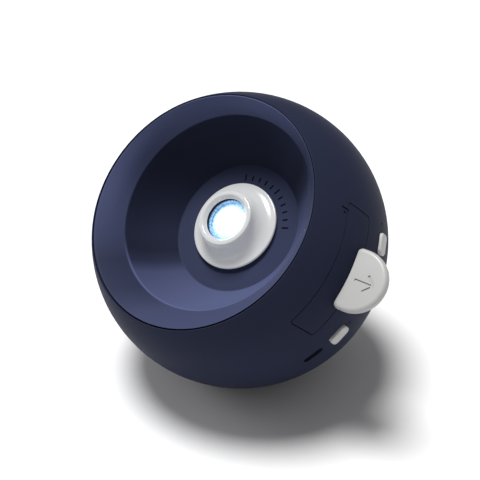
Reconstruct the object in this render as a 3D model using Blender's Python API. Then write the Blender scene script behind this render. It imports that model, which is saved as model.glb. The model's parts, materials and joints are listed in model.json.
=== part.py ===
"""Ball-shaped story projector with a built-in speaker, modelled as separate pieces.

The row frame has +Z up and its origin at the centre of the foot pad's bottom face.
Most pieces hang on the empty ball_axis: its origin is the ball's centre and its own +Z is
the optical axis, which looks forward and up between -Y and +Z. In that tilted frame +X is
the side with the cartridge and the controls, +Y is the upper side of the dish and a
height is a distance along the optical axis from the ball's centre.
"""

from math import acos, asin, cos, pi, radians, sin, sqrt

import bmesh
import bpy
from mathutils import Matrix, Vector

# ---------------------------------------------------------------- driving dimensions
BALL_RADIUS = 0.055
SHELL_WALL = 0.0020
TILT = radians(45)             # optical axis above the horizon
CLEARANCE = 0.0003             # between pieces that touch or nest
TURN_SEGMENTS = 48             # facets round a large turned piece
SMALL_SEGMENTS = 24            # facets round a small turned piece

# foot and base
BASE_FLAT_DEPTH = 0.0523       # base flat, from the ball's centre
FOOT_RADIUS = 0.0150
FOOT_THICKNESS = 0.0012
FOOT_BEVEL = 0.0003

# front dish
MOUTH_RADIUS = 0.0435          # shell's front opening, where ball and ring meet
RING_WIDTH = 0.0062            # sloping ring, measured across the axis
RING_DROP = 0.0095             # from the mouth down to the rim
RING_BULGE = 0.0008            # how far the ring is rounded outwards
DISH_DEPTH = 0.0181            # from the rim down to the floor
DISH_FLOOR_RADIUS = 0.0247
DISH_BULGE = 0.0012            # how far the bowl is hollowed
DISH_WALL = 0.0020
DISH_OFFSET = 0.0031           # bowl and nose sit this far above the ball's axis

# focus nose and lens barrel
NOSE_FLANGE_RADIUS = 0.0168
NOSE_FLANGE_EDGE = 0.0009
NOSE_TIP_RADIUS = 0.0106
NOSE_HEIGHT = 0.0100           # tip above the dish floor
NOSE_LIP = 0.0016
NOSE_GAP = 0.0011              # shadow gap under the flange
NOSE_HUB_WALL = 0.0021
NOSE_HUB_DROP = 0.0048         # hub below the dish floor
NOSE_OPENING_RADIUS = 0.0079
BUSH_WALL = 0.0024
BARREL_RADIUS = 0.0094
BARREL_WALL = 0.0011
BARREL_STOP = 0.0011           # inner ridge that seats both lenses
BARREL_LENGTH = 0.0164
BARREL_SETBACK = 0.0004        # barrel inside the nose lip at full travel
BARREL_GUIDE = 0.0054          # length of the bore that guides the barrel
FRONT_SEAT_DEPTH = 0.0030      # lens seats, from the barrel's ends
BACK_SEAT_DEPTH = 0.0032
FOCUS_TRAVEL = 0.0016          # barrel travel each way
LENS_EDGE = 0.0014
LENS_CROWN = 0.0020

# lamp tube and what it holds
TUBE_FLANGE_RADIUS = 0.0220
TUBE_FLANGE_THICKNESS = 0.0018
TUBE_BORE = 0.0122
TUBE_WALL = 0.0016
TUBE_LENGTH = 0.0250           # from the flange to the open end
PANEL_SIDE = 0.0164
PANEL_THICKNESS = 0.0010
PANEL_SETBACK = 0.0022         # panel frame behind the barrel's guide
CONDENSER_CROWN = 0.0028
CONDENSER_EDGE = 0.0012
LED_BOARD_THICKNESS = 0.0012
LED_RADIUS = 0.0022
SINK_WIDTH = 0.0220
SINK_DEPTH = 0.0180
SINK_BASE = 0.0015
SINK_FIN_HEIGHT = 0.0050
SINK_FIN = 0.0012
SINK_FINS = 6

# body shell, rear cover and their screws
REAR_PARTING = 0.0232          # parting plane behind the ball's centre
SPIGOT_HEIGHT = 0.0030
SPIGOT_WALL = 0.0015
GRILLE_RADIUS = 0.0186
GRILLE_THICKNESS = 0.0014
GRILLE_HOLE_RADIUS = 0.0011
GRILLE_PITCH = 0.0056
GRILLE_RINGS = 2
SCREW_CIRCLE = 0.0425
SCREW_ANGLES = [radians(a) for a in (35, 145, 215, 325)]
SCREW_RADIUS = 0.0010
SCREW_HEAD_RADIUS = 0.0022
SCREW_HEAD_HEIGHT = 0.0013
SCREW_LENGTH = 0.0125
SCREW_SEAT_DEPTH = 0.0063      # head seat behind the parting plane
BOSS_RADIUS = 0.0036
BOSS_HEIGHT = 0.0095

# cartridge on the +X side
BAY_BACK = 0.0037              # back edge of the bay, in front of the dish floor
BAY_HEIGHT = 0.0118            # bay opening along the optical axis
BAY_WIDTH = 0.0446
BAY_CORNER = 0.0014
HANDLE_RADIUS = 0.0110
HANDLE_REACH = 0.0121          # handle's outermost point outside the ball
HANDLE_THICKNESS = 0.0037
HANDLE_INSET = 0.0029          # handle's straight edge inside the ball's radius
HANDLE_CORNER = 0.0019
HANDLE_BEVEL = 0.0011
NECK_WIDTH = 0.0160
NECK_THICKNESS = 0.0021
CARRIER_WIDTH = 0.0410
CARRIER_HEIGHT = 0.0050
CARRIER_DEPTH = 0.0080
CARRIER_WALL = 0.0012
CARD_WIDTH = 0.0284
CARD_THICKNESS = 0.0012
CARD_LENGTH = 0.0095
SOCKET_DEPTH = 0.0030
SOCKET_WALL = 0.0012
GUIDE_WALL = 0.0014

# buttons, switches and charging port
BUTTON_AZIMUTH = radians(18.3)
BUTTON_Z = -0.0017             # button centres, along the axis from the ball's centre
BUTTON_LENGTH = 0.0077
BUTTON_WIDTH = 0.0050
BUTTON_CORNER = 0.0015
BUTTON_PROUD = 0.0010
BUTTON_FLANGE = 0.0008
BUTTON_FLANGE_THICKNESS = 0.0007
BUTTON_TRAVEL = 0.0008
SWITCH_SIDE = 0.0060
SWITCH_HEIGHT = 0.0030
PLUNGER_RADIUS = 0.0016
PLUNGER_LENGTH = 0.0018
CONTROL_BOARD_THICKNESS = 0.0010
CONTROL_BOARD_FRONT_Z = 0.0040
CONTROL_BOARD_BACK_Z = -0.0060
CONTROL_BOARD_ENDS = (radians(-39), radians(27))
PORT_AZIMUTH = radians(-30)
PORT_Z = -0.0007
PORT_OPENING = (0.0079, 0.0029)
PORT_LENGTH = 0.0048
PORT_WALL = 0.0003

# inner frame, battery and main board
FRAME_DROP = 0.0126            # inner frame's front face behind the dish floor
FRAME_THICKNESS = 0.0016
CELL_RADIUS = 0.0071
CELL_LENGTH = 0.0494
CELL_CAP = 0.0012              # raised end contact
CELL_CAP_RADIUS = 0.00284
CELL_OFFSET = 0.0275           # cell's axis below the ball's axis
CRADLE_WALL = 0.0012
CRADLE_DEPTH = 0.0093
BOARD_LENGTH = 0.0520
BOARD_WIDTH = 0.0220
BOARD_THICKNESS = 0.0016
BOARD_GAP = 0.0022
BOARD_EDGE = 0.0021            # board's inner edge outside the lamp tube
BOARD_PARTS = (                # name, x, y from the board's inner edge, width, depth, height
    ("processor_chip", -0.011, 0.011, 0.010, 0.010, 0.0012),
    ("amplifier_chip", 0.006, 0.007, 0.006, 0.005, 0.0012),
    ("memory_chip", 0.006, 0.016, 0.006, 0.005, 0.0010),
    ("power_inductor", 0.019, 0.010, 0.006, 0.006, 0.0028),
    ("battery_connector", -0.022, 0.006, 0.004, 0.007, 0.0040),
)

# speaker in the rear cover
SPEAKER_RADIUS = 0.0180
SPEAKER_FLANGE = 0.0012
SPEAKER_DEPTH = 0.0110
SPEAKER_BACK_RADIUS = 0.0120
SPEAKER_WALL = 0.0010
GASKET_THICKNESS = 0.0008
GASKET_WIDTH = 0.0023
CONE_WALL = 0.0005
VOICE_COIL_RADIUS = 0.0054
MAGNET_RADIUS = 0.0110
MAGNET_HEIGHT = 0.0054

# ---------------------------------------------------------------- derived places
INNER_RADIUS = BALL_RADIUS - SHELL_WALL
BALL_HEIGHT = BASE_FLAT_DEPTH + CLEARANCE + FOOT_THICKNESS
MOUTH_Z = sqrt(BALL_RADIUS**2 - MOUTH_RADIUS**2)
RIM_RADIUS = MOUTH_RADIUS - CLEARANCE - RING_WIDTH
RIM_Z = MOUTH_Z - RING_DROP
FLOOR_Z = RIM_Z - DISH_DEPTH
FLOOR_BACK_Z = FLOOR_Z - DISH_WALL
NOSE_BORE_RADIUS = BARREL_RADIUS + CLEARANCE
HUB_RADIUS = NOSE_BORE_RADIUS + NOSE_HUB_WALL
HUB_END_Z = FLOOR_Z - NOSE_HUB_DROP
FLANGE_Z = FLOOR_Z + NOSE_GAP
TIP_Z = FLOOR_Z + NOSE_HEIGHT
BUSH_RADIUS = HUB_RADIUS + CLEARANCE + BUSH_WALL
DISH_BORE_RADIUS = BUSH_RADIUS + CLEARANCE
BARREL_FRONT_Z = TIP_Z - NOSE_LIP - FOCUS_TRAVEL - BARREL_SETBACK
TUBE_FRONT_Z = FLOOR_BACK_Z - CLEARANCE
TUBE_END_Z = TUBE_FRONT_Z - TUBE_LENGTH
TUBE_RADIUS = TUBE_BORE + TUBE_WALL
TUBE_SHELF_Z = HUB_END_Z - 2 * CLEARANCE
BARREL_GUIDE_END_Z = TUBE_SHELF_Z - BARREL_GUIDE
LENS_RADIUS = BARREL_RADIUS - BARREL_WALL - CLEARANCE
BAY_LOW_Z = FLOOR_Z + BAY_BACK
CARTRIDGE_LOW_Z = BAY_LOW_Z + CLEARANCE
FRAME_Z = min(FLOOR_Z - FRAME_DROP, CONTROL_BOARD_BACK_Z - CLEARANCE)
FRAME_BACK_Z = FRAME_Z - FRAME_THICKNESS


# ---------------------------------------------------------------- helpers
def clear_scene():
    for old in list(bpy.data.objects):
        bpy.data.objects.remove(old)


def material(name, colour, roughness, metallic=0.0):
    """A Principled material, made once and then shared."""
    found = bpy.data.materials.get(name)
    if found:
        return found
    made = bpy.data.materials.new(name)
    made.use_nodes = True
    shader = made.node_tree.nodes["Principled BSDF"]
    shader.inputs["Base Color"].default_value = (*colour, 1.0)
    shader.inputs["Roughness"].default_value = roughness
    shader.inputs["Metallic"].default_value = metallic
    return made


NAVY = ("navy_shell", (0.041, 0.047, 0.095), 0.48)
WHITE = ("white_plastic", (0.80, 0.80, 0.79), 0.25)
GREY_WHITE = ("button_plastic", (0.62, 0.62, 0.62), 0.40)
BLACK = ("black_plastic", (0.012, 0.012, 0.014), 0.45)
GREY = ("grey_plastic", (0.16, 0.16, 0.17), 0.50)
RUBBER = ("foot_rubber", (0.015, 0.015, 0.016), 0.85)
FOAM = ("gasket_foam", (0.03, 0.03, 0.03), 0.95)
PAPER = ("cone_paper", (0.025, 0.025, 0.028), 0.90)
STEEL = ("steel", (0.55, 0.55, 0.56), 0.30, 1.0)
FERRITE = ("ferrite", (0.05, 0.05, 0.05), 0.60)
ALUMINIUM = ("aluminium", (0.75, 0.76, 0.78), 0.35, 1.0)
GLASS = ("lens_glass", (0.75, 0.88, 1.0), 0.05)
PCB = ("green_board", (0.02, 0.16, 0.07), 0.45)
SLEEVE = ("cell_sleeve", (0.05, 0.20, 0.55), 0.35)
LED = ("led_phosphor", (0.95, 0.80, 0.30), 0.40)


def finish(bm, name, look, parent=None):
    """Turns a bmesh into a named object with its faces pointing out."""
    bmesh.ops.recalc_face_normals(bm, faces=bm.faces)
    mesh = bpy.data.meshes.new(name)
    bm.to_mesh(mesh)
    bm.free()
    mesh.materials.append(material(*look))
    mesh.shade_smooth()
    mesh.set_sharp_from_angle(angle=radians(32))
    piece = bpy.data.objects.new(name, mesh)
    bpy.context.scene.collection.objects.link(piece)
    piece.parent = parent
    return piece


def empty(name, location, rotation=(0, 0, 0), parent=None):
    made = bpy.data.objects.new(name, None)
    made.location = location
    made.rotation_euler = rotation
    made.parent = parent
    bpy.context.scene.collection.objects.link(made)
    return made


def as_cutter(piece):
    piece.hide_render = True
    piece.display_type = "WIRE"
    return piece


def boolean(target, tool, operation="DIFFERENCE", solver="EXACT"):
    modifier = target.modifiers.new(f"{operation.lower()}_{tool.name}", "BOOLEAN")
    modifier.operation = operation
    modifier.object = as_cutter(tool)
    modifier.solver = solver
    return target


def lathe(name, profile, look, parent=None, segments=TURN_SEGMENTS, bm=None, at=(0, 0)):
    """Turns (radius, height) or (radius, height, y shift) points into a closed solid.

    A profile that starts and ends on the axis is closed by its poles. Any other one is
    a loop and makes a ring. With bm, the solid is added to it at the place given by at.
    """
    alone = bm is None
    bm = bm or bmesh.new()
    rings = []
    for radius, height, *shift in profile:
        centre = Vector((at[0], at[1] + (shift[0] if shift else 0.0), height))
        if radius < 1e-7:
            rings.append([bm.verts.new(centre)])
            continue
        turns = [2 * pi * i / segments for i in range(segments)]
        rings.append([bm.verts.new(centre + Vector((radius * cos(t), radius * sin(t), 0))) for t in turns])
    solid = len(rings[0]) == 1
    pairs = list(zip(rings, rings[1:])) + ([] if solid else [(rings[-1], rings[0])])
    for low, high in pairs:
        for i in range(segments):
            j = (i + 1) % segments
            if len(low) == 1:
                bm.faces.new((low[0], high[i], high[j]))
            elif len(high) == 1:
                bm.faces.new((low[i], low[j], high[0]))
            else:
                bm.faces.new((low[i], low[j], high[j], high[i]))
    return finish(bm, name, look, parent) if alone else bm


def arc(radius, start, end, steps):
    """(radius, height) points on a sphere's outline between two angles from its +Z pole."""
    angles = [start + (end - start) * i / steps for i in range(steps + 1)]
    return [(radius * sin(a), radius * cos(a)) for a in angles]


def dome(radius, rim, crown, steps=5):
    """Points of a shallow cap from its rim to its crown on the axis, without the rim point."""
    rise = crown - rim
    shares = [1 - (i + 1) / steps for i in range(steps)]
    return [(radius * s, rim + rise * (1 - s * s)) for s in shares]


def prism(name, outline, axis, low, high, look, parent=None, bm=None):
    """Extrudes a closed outline along an axis. Its two coordinates are the other two axes."""
    alone = bm is None
    bm = bm or bmesh.new()

    def point(u, v, w):
        return {"x": (w, u, v), "y": (u, w, v), "z": (u, v, w)}[axis]

    floor = [bm.verts.new(point(u, v, low)) for u, v in outline]
    roof = [bm.verts.new(point(u, v, high)) for u, v in outline]
    count = len(outline)
    bm.faces.new(floor)
    bm.faces.new(roof)
    for i in range(count):
        j = (i + 1) % count
        bm.faces.new((floor[i], floor[j], roof[j], roof[i]))
    return finish(bm, name, look, parent) if alone else bm


def rounded(width, height, corner, centre=(0, 0), steps=3):
    """Outline of a rectangle with round corners."""
    points = []
    for sx, sy, start in ((1, 1, 0), (-1, 1, 90), (-1, -1, 180), (1, -1, 270)):
        cx = centre[0] + sx * (width / 2 - corner)
        cy = centre[1] + sy * (height / 2 - corner)
        for i in range(steps + 1):
            turn = radians(start + 90 * i / steps)
            points.append((cx + corner * cos(turn), cy + corner * sin(turn)))
    return points


def rectangle(u_low, u_high, v_low, v_high):
    return [(u_low, v_low), (u_high, v_low), (u_high, v_high), (u_low, v_high)]


def box(name, x, y, z, look, parent=None, bm=None):
    return prism(name, rectangle(*y, *z), "x", *x, look, parent, bm)


def bevel(piece, width, segments=2, angle=radians(40)):
    modifier = piece.modifiers.new("rounded_edges", "BEVEL")
    modifier.width = width
    modifier.segments = segments
    modifier.limit_method = "ANGLE"
    modifier.angle_limit = angle
    modifier.use_clamp_overlap = True
    return piece


def sphere_x(radius, y, z):
    """X of the sphere's +X side at the given y and height."""
    return sqrt(radius**2 - y**2 - z**2)


# ---------------------------------------------------------------- shells
def shell_profile():
    """Closed outline of the spherical wall between the mouth and the rear parting plane."""
    outer_start = asin(MOUTH_RADIUS / BALL_RADIUS)
    inner_start = asin(MOUTH_RADIUS / INNER_RADIUS)
    outer_end = acos(-REAR_PARTING / BALL_RADIUS)
    inner_end = acos(-REAR_PARTING / INNER_RADIUS)
    outside = arc(BALL_RADIUS, outer_start, pi / 2, 6) + arc(BALL_RADIUS, pi / 2, outer_end, 4)[1:]
    inside = arc(INNER_RADIUS, inner_end, inner_start, 9)
    return outside + inside


def boss_blocks(parent):
    """Four blocks inside the shell that take the rear cover's screws."""
    bm = bmesh.new()
    spigot_reach = sqrt(INNER_RADIUS**2 - REAR_PARTING**2) - CLEARANCE - SPIGOT_WALL - CLEARANCE
    gusset_z = -REAR_PARTING + SPIGOT_HEIGHT + CLEARANCE
    wall_reach = sqrt(INNER_RADIUS**2 - gusset_z**2) + SHELL_WALL / 2
    low = -REAR_PARTING - CLEARANCE
    step = [
        (SCREW_CIRCLE - BOSS_RADIUS, low),
        (spigot_reach, low),
        (spigot_reach, gusset_z),
        (wall_reach, gusset_z),
        (wall_reach, gusset_z + SHELL_WALL),
        (spigot_reach, -REAR_PARTING + BOSS_HEIGHT),
        (SCREW_CIRCLE - BOSS_RADIUS, -REAR_PARTING + BOSS_HEIGHT),
    ]
    for turn in SCREW_ANGLES:
        before = len(bm.verts)
        prism("", step, "y", -BOSS_RADIUS, BOSS_RADIUS, None, bm=bm)
        bm.verts.ensure_lookup_table()
        bmesh.ops.rotate(bm, verts=bm.verts[before:], cent=(0, 0, 0), matrix=Matrix.Rotation(turn, 3, "Z"))
    return finish(bm, "shell_boss_blocks", NAVY, parent)


def screw_shafts(name, radius, low, high, parent, look=STEEL, segments=12):
    """One cylinder on each screw's axis."""
    bm = bmesh.new()
    for turn in SCREW_ANGLES:
        place = (SCREW_CIRCLE * cos(turn), SCREW_CIRCLE * sin(turn))
        shaft = [(0, low), (radius, low), (radius, high), (0, high)]
        lathe("", shaft, None, segments=segments, bm=bm, at=place)
    return finish(bm, name, look, parent)


def make_body_shell(parent):
    shell = lathe("body_shell", shell_profile(), NAVY, parent)
    boolean(shell, boss_blocks(parent), "UNION")
    pilot_top = -REAR_PARTING + BOSS_HEIGHT - SHELL_WALL
    pilot = SCREW_RADIUS + CLEARANCE
    boolean(shell, screw_shafts("shell_pilot_holes", pilot, -BALL_RADIUS, pilot_top, parent))
    middle = (0, BAY_LOW_Z + BAY_HEIGHT / 2)
    bay = rounded(BAY_WIDTH, BAY_HEIGHT, BAY_CORNER, middle)
    boolean(shell, prism("bay_opening", bay, "x", BALL_RADIUS / 2, BALL_RADIUS * 1.2, NAVY, parent))
    for name, turn, height, size, corner in (
        ("power_button_opening", -BUTTON_AZIMUTH, BUTTON_Z, button_opening(), BUTTON_CORNER),
        ("play_button_opening", BUTTON_AZIMUTH, BUTTON_Z, button_opening(), BUTTON_CORNER),
        ("port_opening", PORT_AZIMUTH, PORT_Z, PORT_OPENING, PORT_OPENING[1] * 0.45),
    ):
        hole = rounded(*size, corner)
        tool = prism(name, hole, "x", BALL_RADIUS - 3 * SHELL_WALL, BALL_RADIUS * 1.1, NAVY, parent)
        boolean(shell, on_side(tool, turn, height))
    return shell


def button_opening():
    return (BUTTON_LENGTH + 2 * CLEARANCE, BUTTON_WIDTH + 2 * CLEARANCE)


def on_side(piece, azimuth, height):
    """Turns a piece modelled towards +X to its place round the optical axis."""
    piece.rotation_euler = (0, 0, azimuth)
    piece.location = (0, 0, height)
    return piece


def bowed(start, end, bulge, steps):
    """(radius, height, y shift) points between two rings, bowed sideways by bulge."""
    length = sqrt((end[0] - start[0]) ** 2 + (end[1] - start[1]) ** 2)
    across = ((end[1] - start[1]) / length, -(end[0] - start[0]) / length)
    points = []
    for i in range(steps + 1):
        t = i / steps
        push = bulge * sin(pi * t)
        base = [a + (b - a) * t for a, b in zip(start, end)]
        points.append((base[0] + across[0] * push, base[1] + across[1] * push, base[2]))
    return points


def make_front_dish(parent):
    """Sloping ring, bowl and flat floor in one moulding. The bowl is shifted upwards."""
    edge = MOUTH_RADIUS - CLEARANCE
    top = MOUTH_Z - CLEARANCE
    rim = (RIM_RADIUS, RIM_Z, DISH_OFFSET)
    foot = (DISH_FLOOR_RADIUS, FLOOR_Z, DISH_OFFSET)
    ring = bowed((edge, top, 0.0), rim, RING_BULGE, 4)
    bowl = bowed(rim, foot, -DISH_BULGE, 5)[1:]
    slope = sqrt((rim[0] - foot[0]) ** 2 + DISH_DEPTH**2)
    out = DISH_WALL * DISH_DEPTH / slope
    down = DISH_WALL * (rim[0] - foot[0]) / slope
    back_bowl = [(r + out, z - down, y) for r, z, y in bowl[:-1]]
    back_rim = (RIM_RADIUS + out, RIM_Z - down, DISH_OFFSET)
    rise = (edge - back_rim[0]) * RING_DROP / RING_WIDTH
    front = ring + bowl + [(DISH_BORE_RADIUS, FLOOR_Z, DISH_OFFSET)]
    floor_back = DISH_FLOOR_RADIUS + DISH_WALL * 0.45
    back = [(DISH_BORE_RADIUS, FLOOR_BACK_Z, DISH_OFFSET), (floor_back, FLOOR_BACK_Z, DISH_OFFSET)]
    back += back_bowl[::-1] + [back_rim, (edge, back_rim[1] + rise, 0.0)]
    return lathe("front_dish", front + back, NAVY, parent)


def world_slab(name, top):
    """A wide block under the given world height."""
    reach = 2 * BALL_RADIUS
    return box(name, (-reach, reach), (-reach, reach), (-reach, top), NAVY)


def make_rear_cover(parent):
    """Cap behind the parting plane: spigot, base flat, speaker opening and screw bosses."""
    parting = -REAR_PARTING - CLEARANCE
    spigot = sqrt(INNER_RADIUS**2 - REAR_PARTING**2) - CLEARANCE
    bore = spigot - SPIGOT_WALL
    spigot_top = parting + SPIGOT_HEIGHT
    start = acos(parting / BALL_RADIUS)
    quarter = radians(135)
    outside = arc(BALL_RADIUS, start, quarter, 3) + arc(BALL_RADIUS, quarter, pi, 7)[1:-1]
    profile = [(0, spigot_top), (spigot, spigot_top), (spigot, parting)] + outside + [(0, -BALL_RADIUS)]
    cover = lathe("rear_cover", profile, NAVY, parent)
    inner_start = pi - asin(bore / INNER_RADIUS)
    inside = arc(INNER_RADIUS, inner_start, pi, 9)[:-1]
    hollow_top = spigot_top + SPIGOT_HEIGHT
    hollow = [(0, hollow_top), (bore, hollow_top)] + inside + [(0, -INNER_RADIUS)]
    cavity = lathe("cover_cavity", hollow, NAVY, parent)
    boolean(cavity, world_slab("cavity_floor", BALL_HEIGHT - BASE_FLAT_DEPTH + SHELL_WALL))
    boss_top = parting - CLEARANCE
    boolean(cavity, screw_shafts("cover_bosses", BOSS_RADIUS, -1.2 * BALL_RADIUS, boss_top, parent, NAVY, 16))
    boolean(cover, world_slab("base_flat", BALL_HEIGHT - BASE_FLAT_DEPTH))
    boolean(cover, cavity)
    seat = -REAR_PARTING - SCREW_SEAT_DEPTH
    head = SCREW_HEAD_RADIUS + CLEARANCE
    boolean(cover, screw_shafts("cover_counterbores", head, -1.2 * BALL_RADIUS, seat, parent, segments=16))
    hole = SCREW_RADIUS + CLEARANCE
    boolean(cover, screw_shafts("cover_screw_holes", hole, seat - CLEARANCE, -REAR_PARTING / 2, parent))
    opening = [(0, -1.2 * BALL_RADIUS), (GRILLE_RADIUS, -1.2 * BALL_RADIUS)]
    opening += [(GRILLE_RADIUS, -INNER_RADIUS / 2), (0, -INNER_RADIUS / 2)]
    boolean(cover, lathe("speaker_opening", opening, NAVY, parent))
    return cover


def make_speaker_grille(parent):
    """Perforated cap over the speaker, flush with the rear cover."""
    edge = GRILLE_RADIUS - CLEARANCE
    inner = BALL_RADIUS - GRILLE_THICKNESS
    outside = arc(BALL_RADIUS, pi, pi - asin(edge / BALL_RADIUS), 4)[1:]
    inside = arc(inner, pi - asin(edge / inner), pi, 4)[:-1]
    profile = [(0, -BALL_RADIUS)] + outside + inside + [(0, -inner)]
    grille = lathe("speaker_grille", profile, NAVY, parent, 24)
    bm = bmesh.new()
    places = [(0.0, 0.0)]
    for ring in range(1, GRILLE_RINGS + 1):
        count = 6 * ring
        reach = GRILLE_PITCH * ring
        places += [(reach * cos(2 * pi * i / count), reach * sin(2 * pi * i / count)) for i in range(count)]
    low, high = -1.1 * BALL_RADIUS, -0.8 * INNER_RADIUS
    hole = [(0, low), (GRILLE_HOLE_RADIUS, low), (GRILLE_HOLE_RADIUS, high), (0, high)]
    for place in places:
        lathe("", hole, None, segments=8, bm=bm, at=place)
    return boolean(grille, finish(bm, "grille_holes", NAVY, parent))


def make_cover_screws(parent):
    """Four self-tapping screws from the rear cover into the shell's bosses."""
    seat = -REAR_PARTING - SCREW_SEAT_DEPTH - CLEARANCE
    head = seat - SCREW_HEAD_HEIGHT
    profile = [(0, head), (SCREW_HEAD_RADIUS * 0.8, head)]
    profile += [(SCREW_HEAD_RADIUS, head + SCREW_HEAD_HEIGHT * 0.4)]
    profile += [(SCREW_HEAD_RADIUS, seat), (SCREW_RADIUS, seat)]
    profile += [(SCREW_RADIUS, seat + SCREW_LENGTH - SCREW_RADIUS), (0, seat + SCREW_LENGTH)]
    for number, turn in enumerate(SCREW_ANGLES, 1):
        screw = lathe(f"cover_screw_{number}", profile, STEEL, parent, 12)
        screw.location = (SCREW_CIRCLE * cos(turn), SCREW_CIRCLE * sin(turn), 0)


def make_foot_pad():
    profile = [(0, 0), (FOOT_RADIUS - FOOT_BEVEL, 0), (FOOT_RADIUS, FOOT_BEVEL)]
    profile += [(FOOT_RADIUS, FOOT_THICKNESS), (0, FOOT_THICKNESS)]
    return lathe("foot_pad", profile, RUBBER, segments=32)


# ---------------------------------------------------------------- focus nose and optics
def make_focus_ring(nose):
    """White flared nose that turns in the dish floor and drives the lens barrel."""
    throat = NOSE_TIP_RADIUS + CLEARANCE
    flare_low = FLANGE_Z + NOSE_FLANGE_EDGE
    flare_high = TIP_Z - NOSE_LIP + CLEARANCE
    flare = []
    for i in range(7):
        turn = pi / 2 * i / 6
        radius = throat + (NOSE_FLANGE_RADIUS - throat) * (1 - sin(turn))
        flare.append((radius, flare_low + (flare_high - flare_low) * (1 - cos(turn))))
    lip_low = TIP_Z - NOSE_LIP
    profile = [(NOSE_BORE_RADIUS, HUB_END_Z), (HUB_RADIUS, HUB_END_Z), (HUB_RADIUS, FLANGE_Z)]
    profile += [(NOSE_FLANGE_RADIUS - NOSE_GAP, FLANGE_Z), (NOSE_FLANGE_RADIUS, FLANGE_Z + CLEARANCE)]
    profile += flare
    profile += [(NOSE_TIP_RADIUS - CLEARANCE, flare_high + CLEARANCE)]
    profile += [(NOSE_TIP_RADIUS, TIP_Z - 2 * CLEARANCE)]
    profile += [(NOSE_TIP_RADIUS - 2 * CLEARANCE, TIP_Z), (NOSE_OPENING_RADIUS + 2 * CLEARANCE, TIP_Z)]
    profile += [(NOSE_OPENING_RADIUS, lip_low), (NOSE_BORE_RADIUS, lip_low)]
    return lathe("focus_ring", profile, WHITE, nose, 36)


def make_focus_bush(nose):
    inner = HUB_RADIUS + CLEARANCE
    low = TUBE_SHELF_Z + 5 * CLEARANCE
    high = FLANGE_Z - CLEARANCE
    profile = [(inner, low), (BUSH_RADIUS, low), (BUSH_RADIUS, high), (inner, high)]
    return lathe("focus_bush", profile, BLACK, nose, 32)


def make_lens_barrel(nose):
    seat = BARREL_RADIUS - BARREL_WALL
    stop = seat - BARREL_STOP
    front = BARREL_FRONT_Z
    back = front - BARREL_LENGTH
    front_seat = front - FRONT_SEAT_DEPTH
    back_seat = back + BACK_SEAT_DEPTH
    profile = [(seat, back), (BARREL_RADIUS, back), (BARREL_RADIUS, front), (seat, front)]
    profile += [(seat, front_seat), (stop, front_seat), (stop, back_seat), (seat, back_seat)]
    lathe("lens_barrel", profile, BLACK, nose, 32)

    rim = front_seat + CLEARANCE
    glass = [(0, rim), (LENS_RADIUS, rim), (LENS_RADIUS, rim + LENS_EDGE)]
    glass += dome(LENS_RADIUS, rim + LENS_EDGE, rim + LENS_EDGE + LENS_CROWN)
    lathe("front_lens", glass, GLASS, nose, 32)

    ring_low = front - LENS_EDGE / 2 + CLEARANCE
    ring = [(LENS_RADIUS - 2 * CLEARANCE, ring_low), (LENS_RADIUS, ring_low)]
    ring += [(LENS_RADIUS, front + CLEARANCE), (LENS_RADIUS - 2 * CLEARANCE, front + CLEARANCE)]
    lathe("lens_retainer", ring, BLACK, nose, 32)

    rim = back_seat - CLEARANCE
    glass = [(0, rim), (LENS_RADIUS, rim), (LENS_RADIUS, rim - LENS_EDGE)]
    glass += dome(LENS_RADIUS, rim - LENS_EDGE, rim - LENS_EDGE - LENS_CROWN / 2)
    lathe("rear_lens", glass, GLASS, nose, 24)


def make_lamp_tube(nose):
    """Fixed tube behind the dish floor: its neck guides the barrel, its bore holds the lamp."""
    well = BUSH_RADIUS + 2 * CLEARANCE
    flange_back = TUBE_FRONT_Z - TUBE_FLANGE_THICKNESS
    well_wall = well + TUBE_WALL
    shoulder = TUBE_SHELF_Z - TUBE_WALL
    profile = [(well, TUBE_FRONT_Z), (TUBE_FLANGE_RADIUS, TUBE_FRONT_Z), (TUBE_FLANGE_RADIUS, flange_back)]
    profile += [(well_wall, flange_back), (well_wall, shoulder), (TUBE_RADIUS, shoulder - TUBE_WALL)]
    profile += [(TUBE_RADIUS, TUBE_END_Z), (TUBE_BORE, TUBE_END_Z), (TUBE_BORE, BARREL_GUIDE_END_Z)]
    profile += [(NOSE_BORE_RADIUS, BARREL_GUIDE_END_Z), (NOSE_BORE_RADIUS, TUBE_SHELF_Z)]
    profile += [(well, TUBE_SHELF_Z)]
    return lathe("lamp_tube", profile, GREY, nose, 32)


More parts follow.
